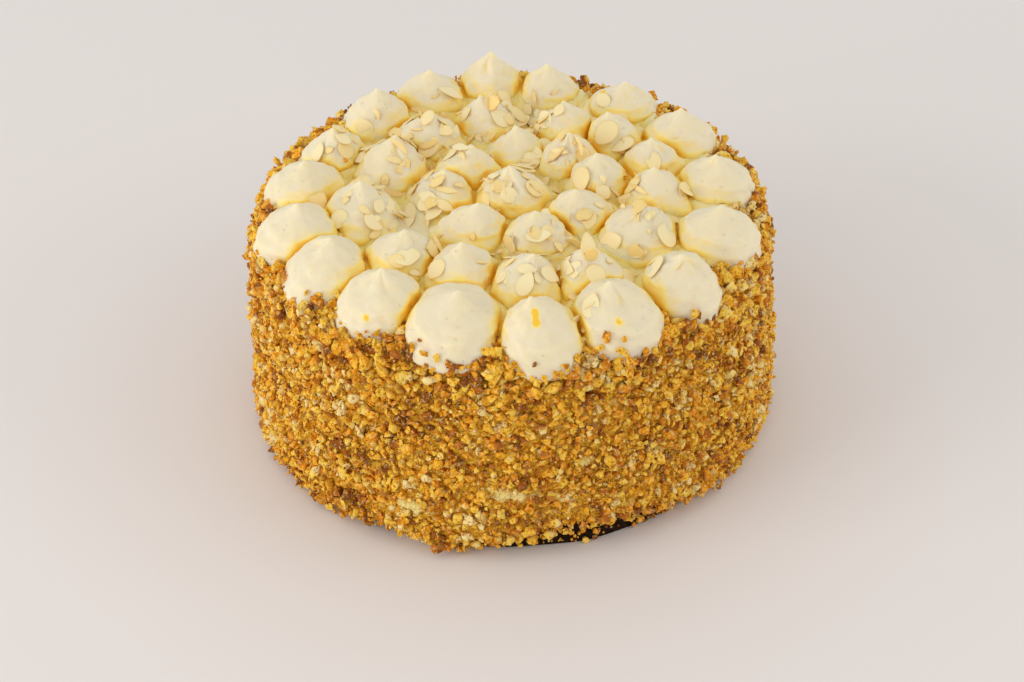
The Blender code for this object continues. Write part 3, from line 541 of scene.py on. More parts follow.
def skin_point(dollop, share_up, share_out, turn, softness=0.0):
    """A point of a dollop's skin, squashed against its neighbours and sagging off the edge."""
    ray = ray_at(turn)
    lean = (dollop.tip - dollop.base) * max(0.0, share_up) ** 1.5
    out = share_out * dollop.radius
    sag = 0.0
    if dollop.ring == "outer":
        over_the_edge = max(0.0, ray.dot(dollop.base.normalized())) * (1.0 - max(0.0, share_up))
        out *= 1.0 + SAG_OUT * over_the_edge
        sag = dollop.sag * over_the_edge
    point = lean + ray * out
    for way, distance in dollop.walls:
        reach = point.dot(way)
        if reach > distance - softness:
            point = point * (pressed(reach, distance, softness) / reach)
    height = TOP_HEIGHT + GAP + share_up * dollop.height - sag
    return dollop.base + point + UP * height


def pressed(reach, distance, softness):
    """Where a neighbour stops a point: at a hard flat, or on a soft curve that ends in it."""
    if softness == 0.0:
        return distance
    return distance - softness * math.exp(-(reach - distance + softness) / softness)


def in_the_way(dollop, place, reach):
    """Whether a dollop comes closer than reach to a place."""
    away = flattened(place - dollop.base)
    if away.length > dollop.radius * (1.0 + SAG_OUT) + reach:
        return False
    turn = math.atan2(away.y, away.x)
    rows = TRIMMED_OUTLINE + ((1.0, 0.0),)
    for (up, out), (next_up, next_out) in zip(rows, rows[1:]):
        for step in (0.0, 0.5):
            point = skin_point(dollop, up + step * (next_up - up), out + step * (next_out - out), turn)
            if (point - place).length < reach:
                return True
            level = abs(point.z - place.z) < 2.0 * MM
            if level and flattened(point - dollop.base).length > away.length:
                return True
    return False


def clear_of_cream(dollops, place, size):
    return not any(in_the_way(dollop, place, 0.5 * size + NUT_CLEARANCE) for dollop in dollops)


def lay_out_nuts(dollops):
    """Every coarse walnut of the solids: its place, the way out from there, size and spin."""
    rng = random.Random(SEED + 3)
    nuts = []
    for degrees, lift, size in SHOULDER_NUTS:
        for slide in range(0, lift, SLIDE_STEP):
            place, out = on_shoulder(math.radians(degrees), math.radians(lift - slide))
            if clear_of_cream(dollops, place, size * MM):
                break
        nuts.append((place, out, size * MM, any_turn(rng)))
    for degrees, height, size in SIDE_NUTS:
        place, out = on_side(math.radians(degrees), height * MM)
        nuts.append((place, out, size * MM, any_turn(rng)))
    for count, limits, pick_place in ((RIM_NUTS, RIM_NUT_SIZE, anywhere_on_shoulder),
                                      (WALL_NUTS, WALL_NUT_SIZE, anywhere_on_side)):
        for size in nut_sizes(rng, count, limits):
            add_nut(rng, nuts, dollops, size, pick_place)
    return nuts


def nut_sizes(rng, count, limits):
    least, most = limits
    return sorted((least + (most - least) * rng.random() ** 2 for _ in range(count)), reverse=True)


def add_nut(rng, nuts, dollops, size, pick_place):
    """Puts a piece of walnut in the emptiest of a few places that are clear of the cream."""
    best = None
    for _ in range(NUT_TRIES):
        place, out = pick_place(rng)
        if not clear_of_cream(dollops, place, size):
            continue
        room = min((place - other[0]).length - 0.5 * other[2] for other in nuts)
        if best is None or room > best[0]:
            best = (room, place, out)
    spin = any_turn(rng)
    if best and best[0] > NUT_ROOM * size:
        nuts.append((best[1], best[2], size, spin))


def share_out_at(share_up):
    """How far out a dollop's skin is at a share of its height."""
    rows = OUTLINE + ((1.0, 0.0),)
    for (up, out), (next_up, next_out) in zip(rows, rows[1:]):
        if share_up <= next_up:
            return out + (share_up - up) / (next_up - up) * (next_out - out)
    return 0.0


def skin_and_normal(dollop, share_up, turn):
    """A point of a dollop's skin, and the way out from it."""
    place = skin_point(dollop, share_up, share_out_at(share_up), turn)
    above = skin_point(dollop, share_up + 0.03, share_out_at(share_up + 0.03), turn)
    beside = skin_point(dollop, share_up, share_out_at(share_up), turn + 0.1)
    return place, (beside - place).cross(above - place).normalized()


# ---- Building helpers ----------------------------------------------------------------------------
def linear(colour):
    """An sRGB hex colour as linear red, green, blue and alpha."""
    parts = [int(colour[i:i + 2], 16) / 255.0 for i in (1, 3, 5)]
    return (*(p / 12.92 if p <= 0.04045 else ((p + 0.055) / 1.055) ** 2.4 for p in parts), 1.0)


def scale_for(size):
    """A pattern's scale, from how large one of its grains really is, in mm."""
    return 1.0 / (size * MM)


def fill(tree, node, values):
    """Fills or links a node's inputs, by name or number."""
    for socket, value in values.items():
        if isinstance(value, bpy.types.NodeSocket):
            tree.links.new(value, node.inputs[socket])
        else:
            node.inputs[socket].default_value = value
    return node


def add(tree, kind, values=None, **settings):
    """Adds a node with its settings and fills its inputs."""
    node = tree.nodes.new(kind)
    for name, value in settings.items():
        setattr(node, name, value)
    return fill(tree, node, values or {})


def new_tree(name, inputs):
    """A Geometry Nodes tree that takes and gives geometry, with named inputs."""
    tree = bpy.data.node_groups.new(name, "GeometryNodeTree")
    tree.interface.new_socket(name="Geometry", in_out="OUTPUT", socket_type="NodeSocketGeometry")
    tree.interface.new_socket(name="Geometry", in_out="INPUT", socket_type="NodeSocketGeometry")
    for label, kind in inputs:
        tree.interface.new_socket(name=label, in_out="INPUT", socket_type="NodeSocket" + kind)
    return tree, add(tree, "NodeGroupInput").outputs


def grow(base, tree, values):
    """Runs a tree on an object and keeps the result as its plain mesh."""
    modifier = base.modifiers.new(tree.name, "NODES")
    modifier.node_group = tree
    for socket in tree.interface.items_tree:
        if socket.in_out == "INPUT" and socket.name in values:
            modifier[socket.identifier] = values[socket.name]
    bpy.context.view_layer.update()
    graph = bpy.context.evaluated_depsgraph_get()
    mesh = bpy.data.meshes.new_from_object(base.evaluated_get(graph))
    base.modifiers.clear()
    base.data = mesh
    mesh.name = base.name
    return base


def new_object(name, mesh, collection=None):
    made = bpy.data.objects.new(name, mesh)
    (collection or bpy.context.scene.collection).objects.link(made)
    return made


def new_collection(name):
    collection = bpy.data.collections.new(name)
    bpy.context.scene.collection.children.link(collection)
    return collection


def mesh_of(name, shape, smooth=True, sharp_from=None):
    """A mesh from a bmesh, which is freed."""
    mesh = bpy.data.meshes.new(name)
    shape.to_mesh(mesh)
    shape.free()
    if smooth:
        mesh.shade_smooth()
    if sharp_from is not None:
        mesh.set_sharp_from_angle(angle=math.radians(sharp_from))
    return mesh


def note(mesh, mark, values, kind="FLOAT"):
    """Keeps numbers, or vectors one after another, as an attribute of a mesh's points."""
    layer = mesh.attributes.new(mark, kind, "POINT")
    layer.data.foreach_set("vector" if kind == "FLOAT_VECTOR" else "value", values)


def ring_mesh(name, rows, columns, point_at):
    """A closed skin of rows of points round an axis, top row first, with a point at each end.
    point_at(row, turn) gives a point and its attributes as a dict of numbers."""
    shape = bmesh.new()
    layers = {}

    def add_point(place, marks):
        for mark, value in marks.items():
            layers.setdefault(mark, []).append(value)
        return shape.verts.new(place)

    top = add_point(*point_at(0, None))
    rings = []
    for row in range(1, rows - 1):
        rings.append([add_point(*point_at(row, math.tau * i / columns)) for i in range(columns)])
    bottom = add_point(*point_at(rows - 1, None))
    for i in range(columns):
        j = (i + 1) % columns
        shape.faces.new((top, rings[0][i], rings[0][j]))
        shape.faces.new((bottom, rings[-1][j], rings[-1][i]))
        for upper, lower in zip(rings, rings[1:]):
            shape.faces.new((upper[i], lower[i], lower[j], upper[j]))
    mesh = mesh_of(name, shape)
    for mark, values in layers.items():
        note(mesh, mark, values)
    return mesh


def finish_piece(piece, finish, slot, *nodes):
    """Gives a finished piece its material and ties it to the frame."""
    piece.data.materials.clear()
    piece.data.materials.append(finish)
    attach(piece, "root")
    if nodes:
        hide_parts(*nodes)
    return piece


def through_curve(points, share):
    """A point of a smooth curve through a row of points, share from 0 to 1."""
    last = len(points) - 1
    place = share * last
    index = min(int(place), last - 1)
    t = place - index
    p0, p1, p2, p3 = (points[min(max(index + k, 0), last)] for k in (-1, 0, 1, 2))
    return tuple(0.5 * (2 * b + (c - a) * t + (2 * a - 5 * b + 4 * c - d) * t * t
                        + (3 * b - a - 3 * c + d) * t * t * t)
                 for a, b, c, d in zip(p0, p1, p2, p3))


# ---- Geometry Nodes ------------------------------------------------------------------------------
def relief_tree():
    """Raises and lowers a skin by three sizes of noise, as far as its relief attribute says."""
    tree, given = new_tree("spread_relief", (
        ("Broad Size", "Float"), ("Broad Height", "Float"), ("Fine Size", "Float"),
        ("Fine Height", "Float"), ("Pit Size", "Float"), ("Pit Depth", "Float")))
    place = add(tree, "GeometryNodeInputPosition").outputs[0]
    masked = add(tree, "GeometryNodeInputNamedAttribute", {"Name": "relief"}, data_type="FLOAT").outputs[0]
    heights = []
    for size, height in (("Broad Size", "Broad Height"), ("Fine Size", "Fine Height")):
        scale = add(tree, "ShaderNodeMath", {0: 1.0, 1: given[size]}, operation="DIVIDE").outputs[0]
        waves = add(tree, "ShaderNodeTexNoise", {"Vector": place, "Scale": scale, "Detail": 2.0})
        centred = add(tree, "ShaderNodeMath", {0: waves.outputs[0], 1: 0.5}, operation="SUBTRACT")
        heights.append(add(tree, "ShaderNodeMath", {0: centred.outputs[0], 1: given[height]},
                           operation="MULTIPLY").outputs[0])
    scale = add(tree, "ShaderNodeMath", {0: 1.0, 1: given["Pit Size"]}, operation="DIVIDE").outputs[0]
    cells = add(tree, "ShaderNodeTexVoronoi", {"Vector": place, "Scale": scale})
    hollow = add(tree, "ShaderNodeMapRange", {0: cells.outputs[0], 1: 0.15, 2: 0.55, 3: -1.0, 4: 0.0},
                 interpolation_type="SMOOTHSTEP").outputs[0]
    heights.append(add(tree, "ShaderNodeMath", {0: hollow, 1: given["Pit Depth"]},
                       operation="MULTIPLY").outputs[0])
    both = add(tree, "ShaderNodeMath", {0: heights[0], 1: heights[1]}, operation="ADD").outputs[0]
    total = add(tree, "ShaderNodeMath", {0: both, 1: heights[2]}, operation="ADD").outputs[0]
    shown = add(tree, "ShaderNodeMath", {0: total, 1: masked}, operation="MULTIPLY").outputs[0]
    normal = add(tree, "GeometryNodeInputNormal").outputs[0]
    move = add(tree, "ShaderNodeVectorMath", {0: normal, "Scale": shown}, operation="SCALE").outputs[0]
    moved = add(tree, "GeometryNodeSetPosition", {"Geometry": given["Geometry"], "Offset": move})
    add(tree, "NodeGroupOutput", {"Geometry": moved.outputs[0]})
    return tree


def scatter_tree():
    """Strews chopped pieces over a skin, more where its cover attribute is high."""
    tree, given = new_tree("strewn_pieces", (
        ("Shapes", "Collection"), ("Spacing", "Float"), ("Density", "Float"), ("Least", "Float"),
        ("Most", "Float"), ("Coarser", "Float"), ("Sunk", "Float"), ("Proud", "Float"),
        ("Tilt", "Float"), ("Seed", "Int"), ("Material", "Material")))
    cover = add(tree, "GeometryNodeInputNamedAttribute", {"Name": "cover"}, data_type="FLOAT").outputs[0]
    strewn = add(tree, "GeometryNodeDistributePointsOnFaces", {
        "Mesh": given["Geometry"], "Distance Min": given["Spacing"], "Density Max": given["Density"],
        "Density Factor": cover, "Seed": given["Seed"]}, distribute_method="POISSON")
    chance = add(tree, "FunctionNodeRandomValue", {2: 0.0, 3: 1.0, "Seed": 1}, data_type="FLOAT").outputs[1]
    skewed = add(tree, "ShaderNodeMath", {0: chance, 1: 1.7}, operation="POWER").outputs[0]
    even = add(tree, "ShaderNodeMapRange", {0: skewed, 3: given["Least"], 4: given["Most"]}).outputs[0]
    rim = add(tree, "GeometryNodeInputNamedAttribute", {"Name": "rim"}, data_type="FLOAT").outputs[0]
    growth = add(tree, "ShaderNodeMath", {0: rim, 1: given["Coarser"], 2: 1.0},
                 operation="MULTIPLY_ADD").outputs[0]
    size = add(tree, "ShaderNodeMath", {0: even, 1: growth}, operation="MULTIPLY").outputs[0]
    depth = add(tree, "FunctionNodeRandomValue", {2: given["Sunk"], 3: given["Proud"], "Seed": 2},
                data_type="FLOAT").outputs[1]
    lift = add(tree, "ShaderNodeMath", {0: depth, 1: size}, operation="MULTIPLY").outputs[0]
    offset = add(tree, "ShaderNodeVectorMath", {0: strewn.outputs["Normal"], "Scale": lift},
                 operation="SCALE").outputs[0]
    moved = add(tree, "GeometryNodeSetPosition", {"Geometry": strewn.outputs["Points"], "Offset": offset})
    tone = add(tree, "FunctionNodeRandomValue", {2: 0.0, 3: 1.0, "Seed": 3}, data_type="FLOAT").outputs[1]
    toned = add(tree, "GeometryNodeStoreNamedAttribute", {
        "Geometry": moved.outputs[0], "Name": "tone", "Value": tone}, data_type="FLOAT", domain="POINT")
    least_tilt = add(tree, "ShaderNodeMath", {0: given["Tilt"], 1: -1.0}, operation="MULTIPLY").outputs[0]
    low = add(tree, "ShaderNodeCombineXYZ", {0: least_tilt, 1: least_tilt, 2: 0.0}).outputs[0]
    high = add(tree, "ShaderNodeCombineXYZ", {0: given["Tilt"], 1: given["Tilt"], 2: math.tau}).outputs[0]
    angles = add(tree, "FunctionNodeRandomValue", {0: low, 1: high, "Seed": 4},
                 data_type="FLOAT_VECTOR").outputs[0]
    lean = add(tree, "FunctionNodeEulerToRotation", {0: angles}).outputs[0]
    turned = add(tree, "FunctionNodeRotateRotation", {
        0: strewn.outputs["Rotation"], 1: lean}, rotation_space="LOCAL").outputs[0]
    shapes = add(tree, "GeometryNodeCollectionInfo", {
        "Collection": given["Shapes"], "Separate Children": True, "Reset Children": True})
    pick = add(tree, "FunctionNodeRandomValue", {4: 0, 5: 40, "Seed": 5}, data_type="INT").outputs[2]
    placed = add(tree, "GeometryNodeInstanceOnPoints", {
        "Points": toned.outputs[0], "Instance": shapes.outputs[0], "Pick Instance": True,
        "Instance Index": pick, "Rotation": turned, "Scale": size})
    real = add(tree, "GeometryNodeRealizeInstances", {"Geometry": placed.outputs[0]})
    place = add(tree, "GeometryNodeInputPosition").outputs[0]
    above = add(tree, "ShaderNodeVectorMath", {0: place, 1: (-1.0, -1.0, FLOOR_AIR)},
                operation="MAXIMUM").outputs[0]
    kept = add(tree, "GeometryNodeSetPosition", {"Geometry": real.outputs[0], "Position": above})
    done = add(tree, "GeometryNodeSetMaterial", {
        "Geometry": kept.outputs[0], "Material": given["Material"]})
    add(tree, "NodeGroupOutput", {"Geometry": done.outputs[0]})
    return tree


def placing_tree():
    """Puts a shape on every point, turned, sized and picked as the point's attributes say."""
    tree, given = new_tree("placed_pieces", (("Shapes", "Collection"), ("Material", "Material")))
    points = add(tree, "GeometryNodeMeshToPoints", {"Mesh": given["Geometry"]})
    read = {}
    for mark, kind in (("turn", "FLOAT_VECTOR"), ("size", "FLOAT_VECTOR"), ("shape", "INT")):
        read[mark] = add(tree, "GeometryNodeInputNamedAttribute", {"Name": mark}, data_type=kind).outputs[0]
    turned = add(tree, "FunctionNodeEulerToRotation", {0: read["turn"]}).outputs[0]
    shapes = add(tree, "GeometryNodeCollectionInfo", {
        "Collection": given["Shapes"], "Separate Children": True, "Reset Children": True})
    placed = add(tree, "GeometryNodeInstanceOnPoints", {
        "Points": points.outputs[0], "Instance": shapes.outputs[0], "Pick Instance": True,
        "Instance Index": read["shape"], "Rotation": turned, "Scale": read["size"]})
    real = add(tree, "GeometryNodeRealizeInstances", {"Geometry": placed.outputs[0]})
    done = add(tree, "GeometryNodeSetMaterial", {
        "Geometry": real.outputs[0], "Material": given["Material"]})
    add(tree, "NodeGroupOutput", {"Geometry": done.outputs[0]})
    return tree


def place_bits(name, bits, shapes, finish):
    """One piece of many bits, each a copy of one of the shapes."""
    mesh = bpy.data.meshes.new(name)
    mesh.from_pydata([bit.place for bit in bits], [], [])
    note(mesh, "turn", [angle for bit in bits for angle in bit.turn.to_euler()], "FLOAT_VECTOR")
    note(mesh, "size", [side for bit in bits for side in bit.size], "FLOAT_VECTOR")
    note(mesh, "shape", [bit.shape for bit in bits], "INT")
    note(mesh, "tone", [bit.tone for bit in bits])
    return grow(new_object(name, mesh), placing_tree(), {"Shapes": shapes, "Material": finish})


# ---- Materials -----------------------------------------------------------------------------------
def new_material(name):
    """A material with its tree, its shader and the place on the object."""
    made = bpy.data.materials.new(name)
    made.use_nodes = True
    tree = made.node_tree
    return made, tree, tree.nodes["Principled BSDF"], add(tree, "ShaderNodeTexCoord").outputs["Object"]


def whipped_butter_cream(colours):
    """Whipped butter cream: matt, faintly see-through, ivory, with painted shade: yellower, then gold,
    where it is deep.
    """
    made, tree, shader, place = new_material("whipped_butter_cream")
    depth = add(tree, "ShaderNodeAttribute", attribute_name="depth").outputs["Fac"]
    cloud = add(tree, "ShaderNodeTexNoise", {
        "Vector": place, "Scale": scale_for(CREAM_CLOUD), "Detail": 3.0}).outputs[0]
    uneven = add(tree, "ShaderNodeMapRange", {0: cloud, 1: 0.35, 2: 0.65, 3: 0.0, 4: 0.5}).outputs[0]
    light = add(tree, "ShaderNodeMix", {
        0: uneven, 6: linear(colours.cream), 7: linear(colours.cream_shade)}, data_type="RGBA").outputs[2]
    ragged = add(tree, "ShaderNodeMath", {0: cloud, 1: 0.5, 2: 0.75}, operation="MULTIPLY_ADD").outputs[0]
    deep = add(tree, "ShaderNodeMath", {0: depth, 1: ragged}, operation="MULTIPLY").outputs[0]
    # Painted shade: yellow, then gold, where the cream is shut in between dollops (depth also carries the
    # yellow spots).
    first = add(tree, "ShaderNodeMapRange", {0: deep, 1: 0.03, 2: 0.22}).outputs[0]
    second = add(tree, "ShaderNodeMapRange", {0: deep, 1: 0.18, 2: 0.60}).outputs[0]
    yellower = add(tree, "ShaderNodeMix", {
        0: first, 6: light, 7: linear(colours.cream_yellow)}, data_type="RGBA").outputs[2]
    colour = add(tree, "ShaderNodeMix", {
        0: second, 6: yellower, 7: linear(colours.cream_deep)}, data_type="RGBA").outputs[2]
    grain = add(tree, "ShaderNodeTexNoise", {
        "Vector": place, "Scale": scale_for(CREAM_GRAIN), "Detail": 4.0}).outputs[0]
    wave = add(tree, "ShaderNodeTexNoise", {
        "Vector": place, "Scale": scale_for(CREAM_FOLD), "Detail": 2.0}).outputs[0]
    cells = add(tree, "ShaderNodeTexVoronoi", {"Vector": place, "Scale": scale_for(CREAM_PIT)}).outputs[0]
    pit = add(tree, "ShaderNodeMapRange", {0: cells, 1: 0.04, 2: 0.15, 3: -1.2, 4: 0.0}).outputs[0]
    fine = add(tree, "ShaderNodeMath", {0: grain, 1: 0.35, 2: wave}, operation="MULTIPLY_ADD").outputs[0]
    surface = add(tree, "ShaderNodeMath", {0: fine, 1: pit}, operation="ADD").outputs[0]
    bump = add(tree, "ShaderNodeBump", {
        "Height": surface, "Strength": 0.7, "Distance": 0.4 * MM}).outputs[0]
    fill(tree, shader, {
        "Base Color": colour, "Roughness": 0.5, "IOR": 1.45, "Specular IOR Level": 0.35,
        "Subsurface Weight": 0.6, "Subsurface Radius": (1.0, 0.85, 0.38),
        "Subsurface Scale": 4.5 * MM, "Normal": bump})
    return made


def toasted_walnut(colours):
    """Chopped toasted walnut: golden kernel with a crumbly break, painted light and shade on it, and thin
    brown skin on one side.
    """
    made, tree, shader, place = new_material("toasted_walnut")
    tone = add(tree, "ShaderNodeAttribute", attribute_name="tone").outputs["Fac"]
    skin = add(tree, "ShaderNodeAttribute", attribute_name="skin").outputs["Fac"]
    broad = add(tree, "ShaderNodeTexNoise", {
        "Vector": place, "Scale": scale_for(KERNEL_PATCH), "Detail": 2.0}).outputs[0]
    patch = add(tree, "ShaderNodeMapRange", {0: broad, 1: 0.3, 2: 0.7, 3: -0.30, 4: 0.32}).outputs[0]
    shifted = add(tree, "ShaderNodeMath", {0: tone, 1: patch}, operation="ADD", use_clamp=True).outputs[0]
    kernel = add(tree, "ShaderNodeValToRGB", {0: shifted})
    elements = kernel.color_ramp.elements
    stops = ((0.0, colours.walnut_dark), (0.07, colours.walnut_brown_and_shade), (0.21, colours.walnut_toasted),
             (0.46, colours.walnut_golden), (0.82, colours.walnut_pale), (1.0, colours.walnut_palest_and_highlight))
    while len(elements) < len(stops):
        elements.new(0.5)
    for element, (position, shade) in zip(elements, stops):
        element.position = position
        element.color = linear(shade)
    crumble = add(tree, "ShaderNodeTexNoise", {
        "Vector": place, "Scale": scale_for(KERNEL_CRUMBLE), "Detail": 5.0, "Roughness": 0.68}).outputs[0]
    # Painted highlight: the tops of the crumbly bumps are painted paler.
    lit = add(tree, "ShaderNodeMapRange", {0: crumble, 1: 0.51, 2: 0.62, 3: 0.0, 4: 0.55}).outputs[0]
    highlighted_kernel = add(tree, "ShaderNodeMix", {
        0: lit, 6: kernel.outputs[0], 7: linear(colours.walnut_palest_and_highlight)}, data_type="RGBA").outputs[2]
    # Painted shade: the hollows between the crumbly bumps are painted walnut brown.
    hollow = add(tree, "ShaderNodeMapRange", {0: crumble, 1: 0.48, 2: 0.38, 3: 0.0, 4: 0.9}).outputs[0]
    toasted = add(tree, "ShaderNodeMix", {
        0: hollow, 6: highlighted_kernel, 7: linear(colours.walnut_brown_and_shade)}, data_type="RGBA").outputs[2]
    torn = add(tree, "ShaderNodeMath", {0: skin, 1: crumble}, operation="MULTIPLY").outputs[0]
    skinned = add(tree, "ShaderNodeMapRange", {0: torn, 1: 0.30, 2: 0.42, 3: 0.0, 4: 0.85}).outputs[0]
    colour = add(tree, "ShaderNodeMix", {
        0: skinned, 6: toasted, 7: linear(colours.walnut_skin)}, data_type="RGBA").outputs[2]
    bump = add(tree, "ShaderNodeBump", {
        "Height": crumble, "Strength": 0.9, "Distance": 0.9 * MM}).outputs[0]
    fill(tree, shader, {
        "Base Color": colour, "Roughness": 0.55, "IOR": 1.47, "Specular IOR Level": 0.12,
        "Normal": bump})
    return made


def crumbed_cream(colours):
    """The cream under the nuts: walnut dust with painted shade in its pits on the side, clean and painted
    deep shade on top.
    """
    made, tree, shader, place = new_material("crumbed_cream")
    clean = add(tree, "ShaderNodeAttribute", attribute_name="clean").outputs["Fac"]
    topped = add(tree, "ShaderNodeAttribute", attribute_name="topped").outputs["Fac"]
    wobble = add(tree, "ShaderNodeTexNoise", {
        "Vector": place, "Scale": scale_for(CRUMB_WOBBLE), "Detail": 3.0}).outputs[1]
    shaken = add(tree, "ShaderNodeVectorMath", {0: wobble, "Scale": 1.6 * MM}, operation="SCALE").outputs[0]
    moved = add(tree, "ShaderNodeVectorMath", {0: place, 1: shaken}, operation="ADD").outputs[0]
    crumbs = add(tree, "ShaderNodeTexVoronoi", {"Vector": moved, "Scale": scale_for(CRUMB)})
    crumb = add(tree, "ShaderNodeMapRange", {0: crumbs.outputs[1], 1: 0.2, 2: 0.8}).outputs[0]
    ground = add(tree, "ShaderNodeMix", {
        0: crumb, 6: linear(colours.walnut_golden), 7: linear(colours.walnut_pale)},
        data_type="RGBA").outputs[2]
    dust = add(tree, "ShaderNodeMapRange", {0: crumbs.outputs[0], 1: 0.10, 2: 0.62, 3: 1.0, 4: 0.0},
               interpolation_type="SMOOTHSTEP").outputs[0]
    grain = add(tree, "ShaderNodeTexNoise", {
        "Vector": place, "Scale": scale_for(CRUMB_GRAIN), "Detail": 4.0, "Roughness": 0.7}).outputs[0]
    # Walnut brown in the pits of the crumb grain: partly walnut bits caught there, partly painted shade.
    between = add(tree, "ShaderNodeMapRange", {0: grain, 1: 0.50, 2: 0.40, 3: 0.0, 4: 0.9}).outputs[0]
    crumbs_and_pit_shade = add(tree, "ShaderNodeMix", {
        0: between, 6: ground, 7: linear(colours.walnut_brown_and_shade)}, data_type="RGBA").outputs[2]
    broad = add(tree, "ShaderNodeTexNoise", {
        "Vector": place, "Scale": scale_for(CREAM_SMEAR), "Detail": 3.0}).outputs[0]
    smear = add(tree, "ShaderNodeMapRange", {0: broad, 1: 0.60, 2: 0.70, 3: 0.0, 4: 0.5}).outputs[0]
    bare = add(tree, "ShaderNodeMath", {0: smear, 1: clean}, operation="MAXIMUM").outputs[0]
    side = add(tree, "ShaderNodeMix", {
        0: bare, 6: crumbs_and_pit_shade, 7: linear(colours.cream_yellow)}, data_type="RGBA").outputs[2]
    # Painted shade: the top under the dollops shows only in the gaps between them, so it takes the gold of
    # the deep shade there.
    colour = add(tree, "ShaderNodeMix", {
        0: topped, 6: side, 7: linear(colours.cream_deep)}, data_type="RGBA").outputs[2]
    rough = add(tree, "ShaderNodeMath", {0: dust, 1: grain}, operation="ADD").outputs[0]
    bump = add(tree, "ShaderNodeBump", {"Height": rough, "Strength": 0.9, "Distance": 0.9 * MM}).outputs[0]
    fill(tree, shader, {
        "Base Color": colour, "Roughness": 0.6, "IOR": 1.45, "Specular IOR Level": 0.3,
        "Normal": bump})
    return made


def almond_flake(colours):
    """Sliced almond: waxy ivory, a touch see-through, with a thread of brown skin at the edge."""
    made, tree, shader, place = new_material("almond_flake")
    tone = add(tree, "ShaderNodeAttribute", attribute_name="tone").outputs["Fac"]
    rim = add(tree, "ShaderNodeAttribute", attribute_name="rim").outputs["Fac"]
    edge_tone = add(tree, "ShaderNodeMath", {0: rim, 1: 0.45, 2: tone}, operation="MULTIPLY_ADD",
                    use_clamp=True).outputs[0]
    flesh = add(tree, "ShaderNodeMix", {
        0: edge_tone, 6: linear(colours.almond), 7: linear(colours.almond_toasted)},
        data_type="RGBA").outputs[2]
    patchy = add(tree, "ShaderNodeTexNoise", {
        "Vector": place, "Scale": scale_for(ALMOND_PATCH), "Detail": 2.0}).outputs[0]
    kept = add(tree, "ShaderNodeMapRange", {0: patchy, 1: 0.50, 2: 0.60, 3: 0.0, 4: 0.8}).outputs[0]
    some = add(tree, "ShaderNodeMapRange", {0: tone, 1: 0.62, 2: 0.66}).outputs[0]
    left = add(tree, "ShaderNodeMath", {0: kept, 1: some}, operation="MULTIPLY").outputs[0]
    edge = add(tree, "ShaderNodeMath", {0: rim, 1: left}, operation="MULTIPLY").outputs[0]
    colour = add(tree, "ShaderNodeMix", {
        0: edge, 6: flesh, 7: linear(colours.almond_skin)}, data_type="RGBA").outputs[2]
    bump = add(tree, "ShaderNodeBump", {"Height": patchy, "Strength": 0.2, "Distance": 0.2 * MM}).outputs[0]
    fill(tree, shader, {
        "Base Color": colour, "Roughness": 0.42, "IOR": 1.46, "Subsurface Weight": 0.12,
        "Subsurface Radius": (1.0, 0.8, 0.5), "Subsurface Scale": 0.6 * MM, "Normal": bump})
    return made


def cocoa_sponge(colours):
    """Dark cocoa sponge: a dry, open crumb, with painted shade nearly black in its pores."""
    made, tree, shader, place = new_material("cocoa_sponge")
    crumb = add(tree, "ShaderNodeTexNoise", {
        "Vector": place, "Scale": scale_for(SPONGE_CRUMB), "Detail": 5.0, "Roughness": 0.7}).outputs[0]
    # Painted shade: the pits of the crumb are painted nearly black.
    shade = add(tree, "ShaderNodeMapRange", {0: crumb, 1: 0.35, 2: 0.70}).outputs[0]
    colour = add(tree, "ShaderNodeMix", {
        0: shade, 6: linear(colours.sponge_pore_shade), 7: linear(colours.sponge)}, data_type="RGBA").outputs[2]
    bump = add(tree, "ShaderNodeBump", {"Height": crumb, "Strength": 0.8, "Distance": 0.6 * MM}).outputs[0]
    fill(tree, shader, {
        "Base Color": colour, "Roughness": 0.9, "Specular IOR Level": 0.08, "Normal": bump})
    return made


def table_paper(colours):
    """The pale table: even, matt, with the faintest unevenness."""
    made, tree, shader, place = new_material("pale_table")
    cloud = add(tree, "ShaderNodeTexNoise", {
        "Vector": place, "Scale": scale_for(TABLE_CLOUD), "Detail": 2.0}).outputs[0]
    share = add(tree, "ShaderNodeMapRange", {0: cloud, 1: 0.3, 2: 0.7, 3: 0.0, 4: 0.15}).outputs[0]
    colour = add(tree, "ShaderNodeMix", {
        0: share, 6: linear(colours.table), 7: linear(colours.table_shade)}, data_type="RGBA").outputs[2]
    fill(tree, shader, {"Base Color": colour, "Roughness": 0.8})
    return made


# ---- Shapes of bits ------------------------------------------------------------------------------
def chopped_shape(rng, corners):
    """A chopped piece of kernel about one unit long: the hull of a few corners, dented here and
    there.  Its skin attribute is 1 on the side where the kernel's brown skin is left."""
    shape = bmesh.new()
    half = Vector((0.5, rng.uniform(0.34, 0.46), rng.uniform(0.26, 0.40)))
    for _ in range(corners):
        way = any_way(rng)
        reach = rng.uniform(0.82, 1.0)
        shape.verts.new([way[i] * half[i] * reach for i in range(3)])
    bmesh.ops.convex_hull(shape, input=shape.verts)
    loose = [vert for vert in shape.verts if not vert.link_faces]
    bmesh.ops.delete(shape, geom=loose, context="VERTS")
    for vert in shape.verts:
        if rng.random() < 0.2:
            vert.co *= rng.uniform(0.62, 0.85)
    bmesh.ops.recalc_face_normals(shape, faces=shape.faces)
    return shape


